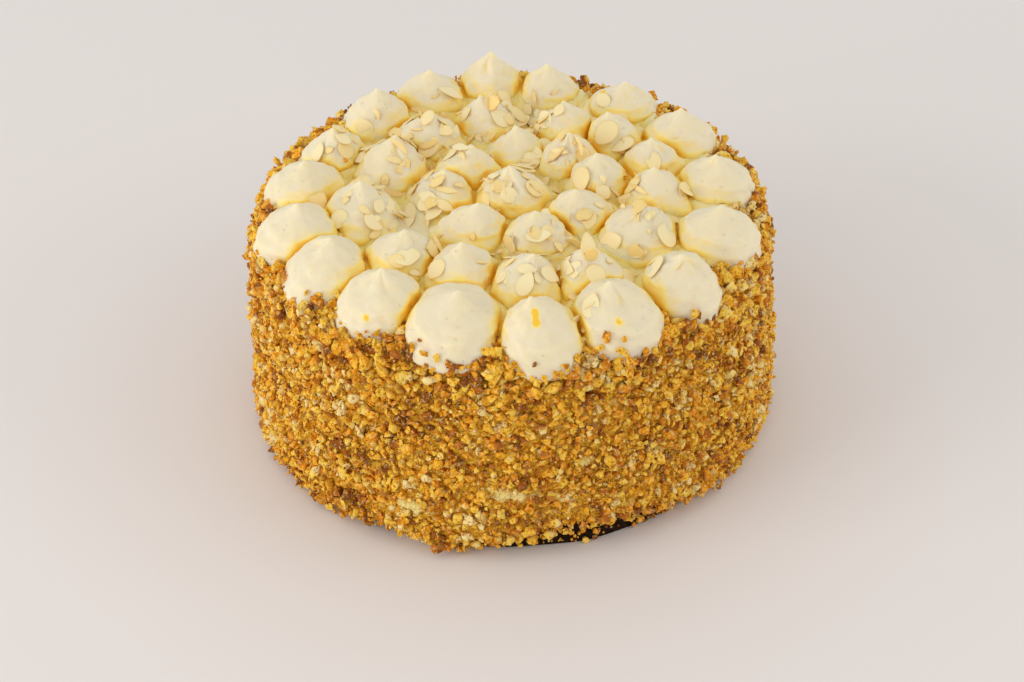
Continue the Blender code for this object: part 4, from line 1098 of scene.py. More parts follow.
def coarse_shape(rng):
    """A coarse piece of kernel, one unit long: a broken block with the kernel's own wrinkles."""
    shape = chopped_shape(rng, 13)
    for _ in range(2):
        bmesh.ops.triangulate(shape, faces=shape.faces)
        bmesh.ops.subdivide_edges(shape, edges=shape.edges, cuts=1, use_grid_fill=True)
    offset = Vector((rng.uniform(0.0, 50.0), rng.uniform(0.0, 50.0), 0.0))
    for vert in shape.verts:
        wrinkle = abs(noise.noise(vert.co * 4.2 + offset)) - 0.2
        grain = noise.noise(vert.co * 11.0 + offset)
        vert.co *= 1.0 + 0.22 * wrinkle + 0.08 * grain
    bmesh.ops.triangulate(shape, faces=shape.faces)
    return shape


def nut_shapes(name, count, make, sharp_from):
    """A collection of nut shapes for Geometry Nodes to pick from."""
    rng = random.Random(name)
    shapes = new_collection(name)
    for number in range(count):
        shape = make(rng)
        skin_side = any_way(rng)
        has_skin = rng.random() < 0.25
        marks = [max(0.0, vert.co.normalized().dot(skin_side)) ** 0.5 if has_skin else 0.0
                 for vert in shape.verts]
        mesh = mesh_of(f"{name}_{number:02d}", shape, sharp_from=sharp_from)
        note(mesh, "skin", marks)
        new_object(mesh.name, mesh, shapes)
    return shapes


def drop_shapes(shapes):
    """Removes shapes that were only there to be copied."""
    for shape in list(shapes.objects):
        bpy.data.objects.remove(shape, do_unlink=True)
    bpy.data.collections.remove(shapes)


def flake_outline(turn, pointed):
    """A point of an almond's cut face: one end blunt, the other pointed."""
    narrowing = 1.0 - pointed * max(0.0, math.cos(turn)) ** 1.5
    return Vector((0.5 * math.cos(turn), 0.5 * math.sin(turn) * narrowing, 0.0))


def flake_shape(rng, broken):
    """A slice of almond one unit long and wide, and one thick.  Its rim attribute is 1 at the
    edge.  A broken one has a straight side."""
    shape = bmesh.new()
    pointed = rng.uniform(0.25, 0.6)
    cut = rng.uniform(0.05, 0.35) if broken else 2.0
    cut_way = Vector((math.cos(rng.uniform(-1.0, 1.0)), math.sin(rng.uniform(-1.0, 1.0)), 0.0))
    warp = rng.uniform(-1.3, 0.3)
    twist = rng.uniform(-0.7, 0.7)

    def layer(share, level):
        ring = []
        for i in range(FLAKE_COLUMNS):
            point = flake_outline(math.tau * i / FLAKE_COLUMNS, pointed) * share
            past = point.dot(cut_way) - cut * 0.5
            if past > 0.0:
                point -= cut_way * past
            point.z = level + warp * (4.0 * point.x * point.x - 0.3) + twist * 4.0 * point.x * point.y
            ring.append(shape.verts.new(point))
        return ring

    rings = [layer(share, level) for share, level, _ in FLAKE_LAYERS]
    for lower, upper in zip(rings, rings[1:]):
        for i in range(FLAKE_COLUMNS):
            j = (i + 1) % FLAKE_COLUMNS
            shape.faces.new((lower[i], lower[j], upper[j], upper[i]))
    marks = [mark for _, _, mark in FLAKE_LAYERS for _ in range(FLAKE_COLUMNS)]
    for ring in (rings[0], rings[-1]):
        level = sum(vert.co.z for vert in ring) / FLAKE_COLUMNS
        middle = shape.verts.new((0.0, 0.0, level))
        marks.append(0.0)
        for i in range(FLAKE_COLUMNS):
            shape.faces.new((ring[i], ring[(i + 1) % FLAKE_COLUMNS], middle))
    bmesh.ops.recalc_face_normals(shape, faces=shape.faces)
    return shape, marks


# ---- Settings ------------------------------------------------------------------------------------
def colour_setting(label, what, default):
    return bpy.props.StringProperty(name=label, description=what, default=default)


class TorteColours(bpy.types.PropertyGroup):
    """The cake's colours, as sRGB hex values."""
    cream: colour_setting("Cream", "Butter cream where light falls on it", "#EDE1C2")
    cream_shade: colour_setting("Cream, uneven", "Where the cream is a little yellower", "#EDDDB2")
    # The yellow cream colour is the bare cream on the coat, and painted shade on the flanks between
    # dollops.
    cream_yellow: colour_setting("Cream, yellow", "On the flanks between dollops", "#FFE690")
    # The deep cream colour is painted shade at the bottom between dollops.
    cream_deep: colour_setting("Cream, deep", "At the bottom between dollops", "#FFCC40")
    # The palest walnut colour also paints the highlights on the kernels' bumps.
    walnut_palest_and_highlight: colour_setting("Walnut, palest", "The palest kernels", "#FCE49C")
    walnut_pale: colour_setting("Walnut, pale", "Pale kernels", "#FFD446")
    walnut_golden: colour_setting("Walnut, golden", "Most kernels", "#FDBC24")
    walnut_toasted: colour_setting("Walnut, toasted", "Darker toasted kernels", "#F6A216")
    # The brown walnut colour also paints shade in the kernels' hollows and in the coat's pits.
    walnut_brown_and_shade: colour_setting("Walnut, brown", "The darkest toasted kernels", "#BC6812")
    walnut_dark: colour_setting("Walnut, dark", "Nearly burnt pieces", "#80420F")
    walnut_skin: colour_setting("Walnut skin", "The skin left on some pieces", "#A65E2A")
    almond: colour_setting("Almond", "Sliced almond", "#F8E8B8")
    almond_toasted: colour_setting("Almond, toasted", "Sliced almond, darker", "#F6D88C")
    almond_skin: colour_setting("Almond skin", "The skin round a slice", "#BC6E28")
    sponge: colour_setting("Sponge", "Dark sponge", "#3A2416")
    # Painted shade inside the sponge's pores.
    sponge_pore_shade: colour_setting("Sponge pores", "Inside the sponge's pores", "#150C07")
    table: colour_setting("Table", "The table under the cake", "#EAE4E0")
    table_shade: colour_setting("Table, uneven", "The table's darker patches", "#E7E0DC")


def size_setting(label, what, default):
    return bpy.props.FloatProperty(name=label, description=what, default=default, subtype="DISTANCE",
                                   unit="LENGTH", precision=5)


class TorteNuts(bpy.types.PropertyGroup):
    """The three sizes of chopped walnut that cover the side."""
    piece_size: size_setting("Largest pieces", "Longest chopped piece of the side", 7.6 * MM)
    bit_size: size_setting("Bits", "Longest of the middle size", 4.6 * MM)
    crumb_size: size_setting("Crumbs", "Longest of the small size", 2.4 * MM)
    piece_spacing: size_setting("Piece spacing", "Least way between the largest", 3.4 * MM)
    bit_spacing: size_setting("Bit spacing", "Least way between bits", 2.5 * MM)
    crumb_spacing: size_setting("Crumb spacing", "Least way between crumbs", 1.65 * MM)
    seed: bpy.props.IntProperty(name="Seed", description="Which scatter of nuts", default=7)


class TorteLight(bpy.types.PropertyGroup):
    """The soft light round the cake."""
    sky: bpy.props.FloatProperty(name="Sky", description="Strength of the light all round", default=0.75)
    left: bpy.props.FloatProperty(name="Left", description="Power of the broad light from the left",
                                  default=14.5, unit="POWER")
    right: bpy.props.FloatProperty(name="Right", description="Power of the weaker light from the right",
                                   default=5.5, unit="POWER")


# ---- Operators -----------------------------------------------------------------------------------
def coat_rows():
    """The coat's outline, from the middle of its top down and in under the cake.
    Each row is (radius, height, way out in plan, way up, how much of the nuts it carries)."""
    rows = [(0.0, TOP_HEIGHT, 0.0, 0.0, 0.0)]
    flat = TOP_RADIUS - SHOULDER_RADIUS
    for step in range(1, COAT_TOP_STEPS):
        share = step / COAT_TOP_STEPS
        rows.append((flat * share, TOP_HEIGHT, 0.0, 0.0, 1.0 if share > 0.86 else 0.0))
    for step in range(COAT_TOP_STEPS + 1):
        share = step / COAT_TOP_STEPS
        lift = 0.5 * math.pi * (1.0 - share)
        rows.append((flat + SHOULDER_RADIUS * math.cos(lift),
                     TOP_HEIGHT - SHOULDER_RADIUS + SHOULDER_RADIUS * math.sin(lift),
                     math.cos(lift), math.sin(lift) * share, 1.0))
    low = SKIRT_HEIGHT + EDGE_HEIGHT
    high = TOP_HEIGHT - SHOULDER_RADIUS
    for step in range(1, COAT_WALL_STEPS):
        height = high - (high - low) * step / COAT_WALL_STEPS
        rows.append((wall_radius(height), height, 1.0, 0.0, 1.0))
    for step in range(COAT_EDGE_STEPS + 1):
        share = step / COAT_EDGE_STEPS
        rows.append((BOTTOM_RADIUS - edge_inset(share), low - share * EDGE_HEIGHT,
                     1.0 - 0.6 * share, -0.6 * share, 1.0))
    rows.append((SKIRT_INNER_RADIUS, SKIRT_HEIGHT + 0.4 * MM, 0.0, 0.0, 0.5))
    ceiling = FOOT_HEIGHT + 0.1 * MM
    for radius, height in ((SKIRT_INNER_RADIUS - 0.6 * MM, 0.5 * FOOT_HEIGHT),
                           (SKIRT_INNER_RADIUS - 0.8 * MM, ceiling), (0.5 * FOOT_RADIUS, ceiling),
                           (0.0, ceiling)):
        rows.append((radius, height, 0.0, 0.0, 0.0))
    return rows


def in_bare_patch(turn, height):
    """How bare of nuts the side is at a place, 0 to 1."""
    bare = 0.0
    for degrees, middle, half_width, half_height in BARE_PATCHES:
        across = math.radians(away_from(degrees, turn)) * BOTTOM_RADIUS / (half_width * MM)
        along = (height - middle * MM) / (half_height * MM)
        ragged = 0.25 * math.sin(9.0 * across + middle) + 0.2 * math.sin(7.0 * along)
        bare = max(bare, 1.0 - max(0.0, math.hypot(across, along) + ragged - 0.6) / 0.5)
    return clamped(bare)


def under_dollop(dollops, place):
    """Whether a place on the top is well inside a dollop's base."""
    for dollop in dollops:
        away = flattened(place - dollop.base)
        if away.length < 0.80 * dollop.radius and all(away.dot(way) < distance
                                                      for way, distance in dollop.walls):
            return True
    return False


class TORTE_OT_coat(bpy.types.Operator):
    """Spreads the cream coat that carries the walnuts"""
    bl_idname = "torte.coat"
    bl_label = "Cream coat"

    def execute(self, context):
        dollops = lay_out_dollops()
        rows = coat_rows()

        def point_at(row, turn):
            radius, height, out, up, carries = rows[row]
            topped = 1.0 if height >= TOP_HEIGHT and radius < TOPPED_RADIUS else 0.0
            marks = {"relief": 0.0, "cover": 0.0, "clean": 0.0, "topped": topped, "rim": 0.0}
            if turn is None:
                return Vector((0.0, 0.0, height)), marks
            ray = ray_at(turn)
            if out > 0.0:
                radius += spread_by_hand(turn, height) * out
            lift = 0.0
            if row < len(rows) - 3:
                low = max(0.0, 1.0 - max(0.0, height - SKIRT_HEIGHT - EDGE_HEIGHT) / LIFT_REACH)
                lift = skirt_rise(turn) * low
            marks["clean"] = in_bare_patch(turn, height + lift)
            under = CREAM_UNDER_NUTS * (1.0 - 0.7 * marks["clean"])
            place = ray * (radius - out * under)
            place.z = height + lift - up * under
            marks["cover"] = carries * (1.0 - 0.8 * marks["clean"])
            if height > TOP_HEIGHT - 2.0 * MM and under_dollop(dollops, place):
                marks["cover"] = 0.0
            marks["rim"] = clamped((height - TOP_HEIGHT + 20.0 * MM) / (14.0 * MM))
            marks["relief"] = 1.0 if out > 0.0 else 0.3
            return place, marks

        mesh = ring_mesh("cream_coat", len(rows), COAT_COLUMNS, point_at)
        coat = grow(new_object("cream_coat", mesh), relief_tree(), {
            "Broad Size": 9.0 * MM, "Broad Height": 1.3 * MM, "Fine Size": 2.0 * MM,
            "Fine Height": 2.4 * MM, "Pit Size": 2.6 * MM, "Pit Depth": -0.9 * MM})
        finish_piece(coat, crumbed_cream(context.scene.torte_colours), "walnut_coat", "cake_body")
        return {"FINISHED"}


def beside_feet(dollops, place):
    """How much cream stands up at a place of the top because dollops' feet are near, 0 to 1."""
    most = 0.0
    for dollop in dollops:
        away = flattened(place - dollop.base)
        gap = away.length - 1.05 * dollop.radius
        if gap < 4.0 * MENISCUS_REACH:
            most = max(most, math.exp(-max(0.0, gap) / MENISCUS_REACH))
    return most


class TORTE_OT_top_cream(bpy.types.Operator):
    """Spreads the cream between the dollops, which runs up to their feet"""
    bl_idname = "torte.top_cream"
    bl_label = "Top cream"

    def execute(self, context):
        dollops = lay_out_dollops()

        def point_at(row, turn):
            if turn is None:
                level = TOP_HEIGHT + CREAM_FILL if row == 0 else TOP_HEIGHT - 1.0 * MM
                return Vector((0.0, 0.0, level)), {"relief": 0.0}
            share = min(1.0, row / TOP_STEPS)
            ray = ray_at(turn)
            place = ray * TOP_CREAM_RADIUS * share
            edge = ramp(1.0, 0.93, share)
            near = beside_feet(dollops, place)
            place.z = TOP_HEIGHT - 1.0 * MM
            if row <= TOP_STEPS:
                place.z = TOP_HEIGHT + edge * (CREAM_FILL + MENISCUS * near) - 0.5 * MM * (1.0 - edge)
            return place, {"relief": 0.4 * edge}

        mesh = ring_mesh("cream_top", TOP_STEPS + 3, TOP_COLUMNS, point_at)
        top = grow(new_object("cream_top", mesh), relief_tree(), {
            "Broad Size": 6.0 * MM, "Broad Height": 1.6 * MM, "Fine Size": 2.2 * MM,
            "Fine Height": 0.8 * MM, "Pit Size": 3.0 * MM, "Pit Depth": 0.0})
        finish_piece(top, whipped_butter_cream(context.scene.torte_colours), "cream", "cake_body")
        return {"FINISHED"}


def creams_on_top():
    return [thing for thing in bpy.context.scene.objects
            if thing.name.startswith("cream_") and thing.name != "cream_coat"]


def cream_surface():
    """The skin of all the cream on top, for things to be laid on."""
    shape = bmesh.new()
    for cream in creams_on_top():
        shape.from_mesh(cream.data)
    surface = BVHTree.FromBMesh(shape)
    shape.free()
    return surface


def laid_on(surface, place, way):
    """Where a thing that comes near a place along a way meets the cream, or else the place."""
    return surface.ray_cast(place - way * LAID_FROM, way, LAID_AS_FAR)[0] or place


def drop_on(surface, x, y):
    """Where a thing that is dropped at x and y, in mm, meets the cream, and the way out there."""
    return surface.ray_cast(Vector((x, y, 0.0)) * MM + UP * ABOVE_THE_CAKE, -UP)[:2]


class TORTE_OT_coarse_walnuts(bpy.types.Operator):
    """Sets the coarse walnuts along the rim and over the side"""
    bl_idname = "torte.coarse_walnuts"
    bl_label = "Coarse walnuts"

    def execute(self, context):
        rng = random.Random(SEED + 8)
        shapes = nut_shapes("coarse_nut", COARSE_SHAPES, coarse_shape, 40.0)
        dollops = lay_out_dollops()
        nuts = lay_out_nuts(dollops) + nuts_on_cream(dollops) + nuts_round_dollops(dollops)
        bits = []
        for place, out, size, spin in nuts:
            turn = facing(out, spin)
            sides = Vector((rng.uniform(0.95, 1.1), rng.uniform(0.8, 1.0), rng.uniform(0.75, 0.95))) * size
            bits.append(Bit(place - out * NUT_SUNK * size, turn, sides, rng.randrange(COARSE_SHAPES),
                            rng.random()))
        for x, y, z, length, spin, thick in STANDING_OUT:
            out = (Vector((x, y, 0.0)).normalized() + UP * 0.35).normalized()
            turn = facing(out, math.radians(spin))
            sides = Vector((1.0, thick, 0.9 * thick)) * length * MM
            place = Vector((x, y, z)) * MM + out * STANDING_NUT_LIFT * sides.z
            bits.append(Bit(place, turn, sides, rng.randrange(COARSE_SHAPES), rng.uniform(0.12, 0.75)))
        finish = toasted_walnut(context.scene.torte_colours)
        coarse = place_bits("walnuts_coarse", bits, shapes, finish)
        drop_shapes(shapes)
        finish_piece(coarse, finish, "walnut_coat", "cake_body")
        return {"FINISHED"}


def nuts_on_cream(dollops):
    """The bits of walnut that fell on the cream."""
    rng = random.Random(SEED + 21)
    named = {dollop.name: dollop for dollop in dollops}
    nuts = []
    surface = cream_surface()
    for name, degrees, share_up, size in NUTS_ON_CREAM:
        place, normal = skin_and_normal(named["dollop_" + name], share_up, math.radians(degrees))
        place = laid_on(surface, place, -normal)
        nuts.append((place + normal * FALLEN_NUT_LIFT * size * MM, normal, size * MM, any_turn(rng)))
    for x, y, size in SEEN_NUTS:
        place, normal = drop_on(surface, x, y)
        nuts.append((place + normal * FALLEN_NUT_LIFT * size * MM, normal, size * MM, any_turn(rng)))
    return nuts


def nuts_round_dollops(dollops):
    """The walnuts that heap up against the feet of the outer dollops."""
    rng = random.Random(SEED + 22)
    nuts = []
    surface = cream_surface()
    for dollop in dollops:
        if dollop.ring != "outer":
            continue
        outward = math.atan2(dollop.base.y, dollop.base.x)
        for step in range(NUTS_ROUND_DOLLOP):
            turn = outward + 2.6 * ((step + rng.random()) / NUTS_ROUND_DOLLOP - 0.5)
            share_up = rng.uniform(-0.27, -0.09)
            size = rng.uniform(*ROUND_NUT_SIZE)
            place = skin_point(dollop, share_up, 0.86 + 0.6 * (share_up + 0.12), turn)
            out = (ray_at(turn) + UP * rng.uniform(0.3, 1.0)).normalized()
            place = laid_on(surface, place, -out)
            nuts.append((place + out * ROUND_NUT_LIFT * size, out, size, any_turn(rng)))
    return nuts


class TORTE_OT_chopped_walnuts(bpy.types.Operator):
    """Covers the side with three sizes of chopped walnut"""
    bl_idname = "torte.chopped_walnuts"
    bl_label = "Chopped walnuts"

    def execute(self, context):
        nuts = context.scene.torte_nuts
        finish = bpy.data.materials["toasted_walnut"]
        skin = bpy.data.objects["cream_coat"]
        kinds = (("walnuts_pieces", 16, nuts.piece_size, 0.58, nuts.piece_spacing, (0.10, 0.40), 0.8),
                 ("walnuts_bits", 13, nuts.bit_size, 0.60, nuts.bit_spacing, (0.05, 0.85), 1.2),
                 ("walnuts_crumbs", 9, nuts.crumb_size, 0.5, nuts.crumb_spacing, (0.0, 1.6), 1.5))
        scatter = scatter_tree()
        for number, (name, corners, most, least_share, spacing, lifts, tilt) in enumerate(kinds):
            shapes = nut_shapes(name + "_shape", CHOPPED_SHAPES,
                                lambda rng: chopped_shape(rng, corners), 62.0)
            base = new_object(name, skin.data.copy())
            grow(base, scatter, {
                "Shapes": shapes, "Spacing": spacing, "Density": 1.6 / spacing ** 2,
                "Least": least_share * most, "Most": most, "Coarser": 0.3, "Sunk": lifts[0],
                "Proud": lifts[1], "Tilt": tilt, "Seed": nuts.seed + number, "Material": finish})
            drop_shapes(shapes)
            finish_piece(base, finish, "walnut_coat", "cake_body")
        return {"FINISHED"}


class TORTE_OT_sponge(bpy.types.Operator):
    """Bakes the dark sponge that shows under the coat"""
    bl_idname = "torte.sponge"
    bl_label = "Sponge foot"

    def execute(self, context):
        def point_at(row, turn):
            if turn is None:
                return Vector((0.0, 0.0, FOOT_HEIGHT if row == 0 else 0.0)), {"relief": 0.0, "cover": 0.0}
            height = FOOT_HEIGHT * (1.0 - clamped((row - 2) / FOOT_STEPS))
            swell = FOOT_BELLY * (1.0 - 8.0 * (height / FOOT_HEIGHT - 0.5) ** 2)
            out = FOOT_RADIUS + swell
            out += 0.35 * MM * math.sin(9.0 * turn + 300.0 * height)
            out += 0.25 * MM * math.sin(19.0 * turn + 1.0)
            if row in (1, FOOT_STEPS + 3):
                out *= 0.9
            relief = 1.0 if 2 < row < FOOT_STEPS + 2 else 0.0
            marks = {"relief": relief, "cover": nuts_stuck(turn, height)}
            return ray_at(turn) * out + UP * height, marks

        mesh = ring_mesh("cocoa_sponge", FOOT_STEPS + 5, FOOT_COLUMNS, point_at)
        sponge = grow(new_object("cocoa_sponge", mesh), relief_tree(), {
            "Broad Size": 5.0 * MM, "Broad Height": 0.9 * MM, "Fine Size": 1.6 * MM,
            "Fine Height": 0.9 * MM, "Pit Size": 2.4 * MM, "Pit Depth": 0.8 * MM})
        finish_piece(sponge, cocoa_sponge(context.scene.torte_colours), "sponge", "sponge_base")
        finish = bpy.data.materials["toasted_walnut"]
        shapes = nut_shapes("foot_nut", FOOT_NUT_SHAPES, lambda rng: chopped_shape(rng, 14), 30.0)
        stuck = grow(new_object("walnuts_on_foot", sponge.data.copy()), scatter_tree(), {
            "Shapes": shapes, "Spacing": FOOT_NUT_SPACING, "Density": FOOT_NUT_DENSITY,
            "Least": FOOT_NUT_SIZE[0], "Most": FOOT_NUT_SIZE[1], "Coarser": 0.0, "Sunk": 0.1,
            "Proud": 0.5, "Tilt": 1.0, "Seed": context.scene.torte_nuts.seed, "Material": finish})
        drop_shapes(shapes)
        finish_piece(stuck, finish, "walnut_coat", "sponge_base")
        return {"FINISHED"}


def nuts_stuck(turn, height):
    """How thickly walnut bits stick to the foot at a place, 0 to 1."""
    (first, last), (low, high) = NUTS_ON_FOOT
    degrees = math.degrees(math.remainder(turn, math.tau))
    if not (first < degrees < last and low * MM < height < high * MM):
        return 0.0
    ends = ramp(-62.0, -52.0, degrees) + ramp(-92.0, -100.0, degrees)
    return min(1.0, 0.45 + 0.4 * math.sin(0.9 * degrees) * math.sin(0.37 * degrees) + ends)


@dataclass
class Piping:
    """How one dollop left the nozzle: its lobes, its creased and bent tip, its faint rings."""
    phase: float
    fullness: float
    lobes: float
    creases: list                   # (direction, depth, width)
    twist: float
    bend: Vector
    rings: float


def new_piping(name):
    rng = random.Random("cream " + name)
    creases = [(any_turn(rng), rng.uniform(0.16, 0.42), rng.uniform(0.25, 0.5))
               for _ in range(rng.choice((1, 2, 2, 3)))]
    bend = Vector((rng.uniform(-1.0, 1.0), rng.uniform(-1.0, 1.0), 0.0)) * MM
    fullness = FULLNESS.get(name.removeprefix("dollop_"), rng.uniform(-0.05, 0.06))
    return Piping(any_turn(rng), fullness, rng.uniform(0.015, 0.045), creases,
                  rng.uniform(-1.5, 1.5), bend, rng.uniform(0.012, 0.026))


def smooth_outline(dollop):
    """Rows of a dollop's outline, tip first: (share of height, share of radius)."""
    foot = PIPED_OVERHANG if dollop.ring == "outer" else PIPED_FOOT
    points = list(reversed(foot + PIPED_NECK))
    return [through_curve(points, step / (DOLLOP_ROWS - 1)) for step in range(DOLLOP_ROWS)]


def cream_point(dollop, piping, up, out, turn):
    """A point of the piped cream."""
    near_tip = ramp(0.58, 0.80, up)
    out *= 1.0 + piping.fullness * ramp(0.40, 0.65, up) * (1.0 - near_tip)
    out *= 1.0 + piping.lobes * math.sin(2.0 * turn + piping.phase)
    out *= 1.0 + 0.6 * piping.lobes * math.sin(3.0 * turn - piping.phase + 2.0 * up)
    out *= 1.0 + piping.rings * math.sin(21.0 * up + 9.0 * up * up + turn + piping.phase)
    for direction, depth, width in piping.creases:
        away = math.remainder(turn - direction - piping.twist * (up - 0.8), math.tau) / width
        out *= 1.0 - depth * near_tip * math.exp(-away * away)
    if dollop.ring == "outer":
        inward = 1.0 - ramp(-0.3, 0.5, ray_at(turn).dot(dollop.base.normalized()))
        out *= 1.0 + OUTER_FLARE * inward * (1.0 - ramp(-0.05, 0.30, up))
    place = skin_point(dollop, up, out, turn, softness=SQUEEZE)
    return place + piping.bend * ramp(0.78, 1.0, up)


class TORTE_OT_dollops(bpy.types.Operator):
    """Pipes the cream dollops in rings on the top"""
    bl_idname = "torte.dollops"
    bl_label = "Cream dollops"

    def execute(self, context):
        finish = bpy.data.materials["whipped_butter_cream"]
        relief = relief_tree()
        dollops = lay_out_dollops()
        for dollop in dollops:
            dollop.walls = flats(dollop, dollops, FEET_SPREAD)
            rows = smooth_outline(dollop)
            piping = new_piping(dollop.name)

            def point_at(row, turn, rows=rows, dollop=dollop, piping=piping):
                up, out = rows[min(max(row - 1, 0), len(rows) - 1)]
                if turn is None:
                    up += 0.004 if row == 0 else -0.02
                    bend = piping.bend if row == 0 else Vector()
                    return skin_point(dollop, up, 0.0, 0.0) + bend, {"relief": 0.0}
                return cream_point(dollop, piping, up, out, turn), {"relief": min(1.0, 0.2 + out)}

            mesh = ring_mesh("cream_" + dollop.name, len(rows) + 2, DOLLOP_COLUMNS, point_at)
            cream = grow(new_object("cream_" + dollop.name, mesh), relief, {
                "Broad Size": 8.5 * MM, "Broad Height": 3.2 * MM, "Fine Size": 3.2 * MM,
                "Fine Height": 1.5 * MM, "Pit Size": 7.0 * MM, "Pit Depth": 0.35 * MM})
            finish_piece(cream, finish, "cream", dollop.name)
        return {"FINISHED"}


class TORTE_OT_hollows(bpy.types.Operator):
    """Notes at each point of the cream how shut in it is, from 0 in the open to 1 in a crack"""
    bl_idname = "torte.hollows"
    bl_label = "Hollows of the cream"

    def execute(self, context):
        surface = cream_surface()
        looks = []
        for i in range(LOOKS):
            rise = math.sqrt((i + 0.5) / LOOKS)
            looks.append(ray_at(GOLDEN_ANGLE * i) * math.sqrt(1.0 - rise * rise) + UP * rise)
        # How shut in each point is sets the painted shade of the cream; the yellow spots are added to it.
        for cream in creams_on_top():
            shade_and_spot_amounts = []
            for vert in cream.data.vertices:
                turn = vert.normal.to_track_quat("Z", "Y").to_matrix()
                start = vert.co + vert.normal * LOOK_FROM
                shut = 0.0
                for look in looks:
                    distance = surface.ray_cast(start, turn @ look, LOOK_AS_FAR)[3]
                    if distance is not None:
                        shut += 1.0 - 0.6 * distance / LOOK_AS_FAR
                spot = max([0.0] + [1.0 - (vert.co - Vector((x, y, z)) * MM).length / (size * MM)
                                    for x, y, z, size in YELLOW_SPOTS])
                shade_and_spot_amounts.append(max(shut / LOOKS, min(0.9, 1.6 * spot)))
            note(cream.data, "depth", shade_and_spot_amounts)
        return {"FINISHED"}


def flake_bits(surface):
    """The flakes of the solids, each as its solid lies."""
    bits = []
    for dollop in lay_out_dollops():
        rng = random.Random(dollop.name)
        looks = random.Random("look " + dollop.name)
        for degrees, share_up in FLAKES.get(dollop.name.removeprefix("dollop_"), ()):
            place, normal = skin_and_normal(dollop, share_up, math.radians(degrees))
            length = rng.uniform(*FLAKE_LENGTH)
            width = length * rng.uniform(*FLAKE_WIDTH)
            spin = any_turn(rng)
            rock = rng.uniform(-FLAKE_ROCK, FLAKE_ROCK)
            turn = facing(normal) @ Matrix.Rotation(rock, 3, "X") @ Matrix.Rotation(spin, 3, "Z")
            size = Vector((length, width, looks.uniform(*SEEN_THICKNESS) * MM))
            place = laid_on(surface, place, -normal)
            bits.append(Bit(place + normal * 0.1 * MM, turn, size, looks.randrange(FLAKE_SHAPES),
                            looks.random() ** 2))
    return bits


def lie_of_flake(rng, lie, normal):
    """How a flake is turned, and how far its middle is off the cream, as a share of its size."""
    spin = Matrix.Rotation(any_turn(rng), 3, "Z")
    if lie in ("flat", "sliver"):
        return facing(normal) @ Matrix.Rotation(rng.uniform(-0.4, 0.4), 3, "X") @ spin, 0.04
    if lie == "valley":
        level = facing((normal + UP * 1.4).normalized())
        return level @ Matrix.Rotation(rng.uniform(-0.3, 0.3), 3, "X") @ spin, 0.10
    if lie == "edge":
        return facing(normal) @ spin @ Matrix.Rotation(rng.uniform(1.1, 1.5), 3, "X"), 0.18
    return facing(normal) @ spin @ Matrix.Rotation(1.35, 3, "Y"), 0.28


def more_flake_bits(surface):
    """The flakes besides the solids' own, and loose slivers all over the top."""
    rng = random.Random(SEED + 30)
    dollops = {dollop.name.removeprefix("dollop_"): dollop for dollop in lay_out_dollops()}
    asked = list(MORE_FLAKES)
    inner = [name for name in dollops if not name.startswith("outer")]
    for _ in range(LOOSE_SLIVERS):
        asked.append((rng.choice(inner), rng.uniform(0.0, 360.0), rng.uniform(0.12, 0.75),
                      rng.uniform(2.5, 6.0), rng.choice(("sliver", "sliver", "edge", "flat"))))
    bits = []
    for name, degrees, share_up, length, lie in asked:
        place, normal = skin_and_normal(dollops[name], share_up, math.radians(degrees))
        place = laid_on(surface, place, -normal)
        turn, off = lie_of_flake(rng, lie, normal)
        width = rng.uniform(0.16, 0.26) if lie == "sliver" else rng.uniform(0.55, 0.75)
        size = Vector((length, length * width, rng.uniform(*SEEN_THICKNESS))) * MM
        tone = rng.uniform(0.4, 1.0) if lie == "sliver" else rng.random() ** 1.5
        reach = size.y if lie == "edge" else size.x
        place += normal * (off * reach + 0.05 * MM)
        bits.append(Bit(place, turn, size, rng.randrange(FLAKE_SHAPES), tone))
    return bits


def seen_flake_bits(surface):
    """The flakes that stand out, each on the cream and turned as it is seen."""
    rng = random.Random(SEED + 32)
    tilt = math.radians(CAMERA_TILT)
    screen_up = Vector((0.0, math.sin(tilt), math.cos(tilt)))
    bits = []
    for x, y, degrees, length, width, tone, *stands in SEEN_FLAKES:
        place, normal = drop_on(surface, x, y)
        turned = math.radians(degrees)
        along = Vector((math.cos(turned), 0.0, 0.0)) + screen_up * math.sin(turned)
        if stands:
            out = Vector((0.5, -0.8, 0.2))
            out = (out - along * out.dot(along)).normalized()
            place += UP * 0.08 * length * MM
        else:
            out = (normal + Vector((rng.gauss(0.0, 0.12), rng.gauss(0.0, 0.12), 0.0))).normalized()
            along = (along - out * along.dot(out)).normalized()
            place += out * 0.4 * MM
        turn = Matrix((along, out.cross(along), out)).transposed()
        size = Vector((length, width, rng.uniform(*SEEN_THICKNESS))) * MM
        bits.append(Bit(place, turn, size, rng.randrange(FLAKE_SHAPES), tone))
    return bits


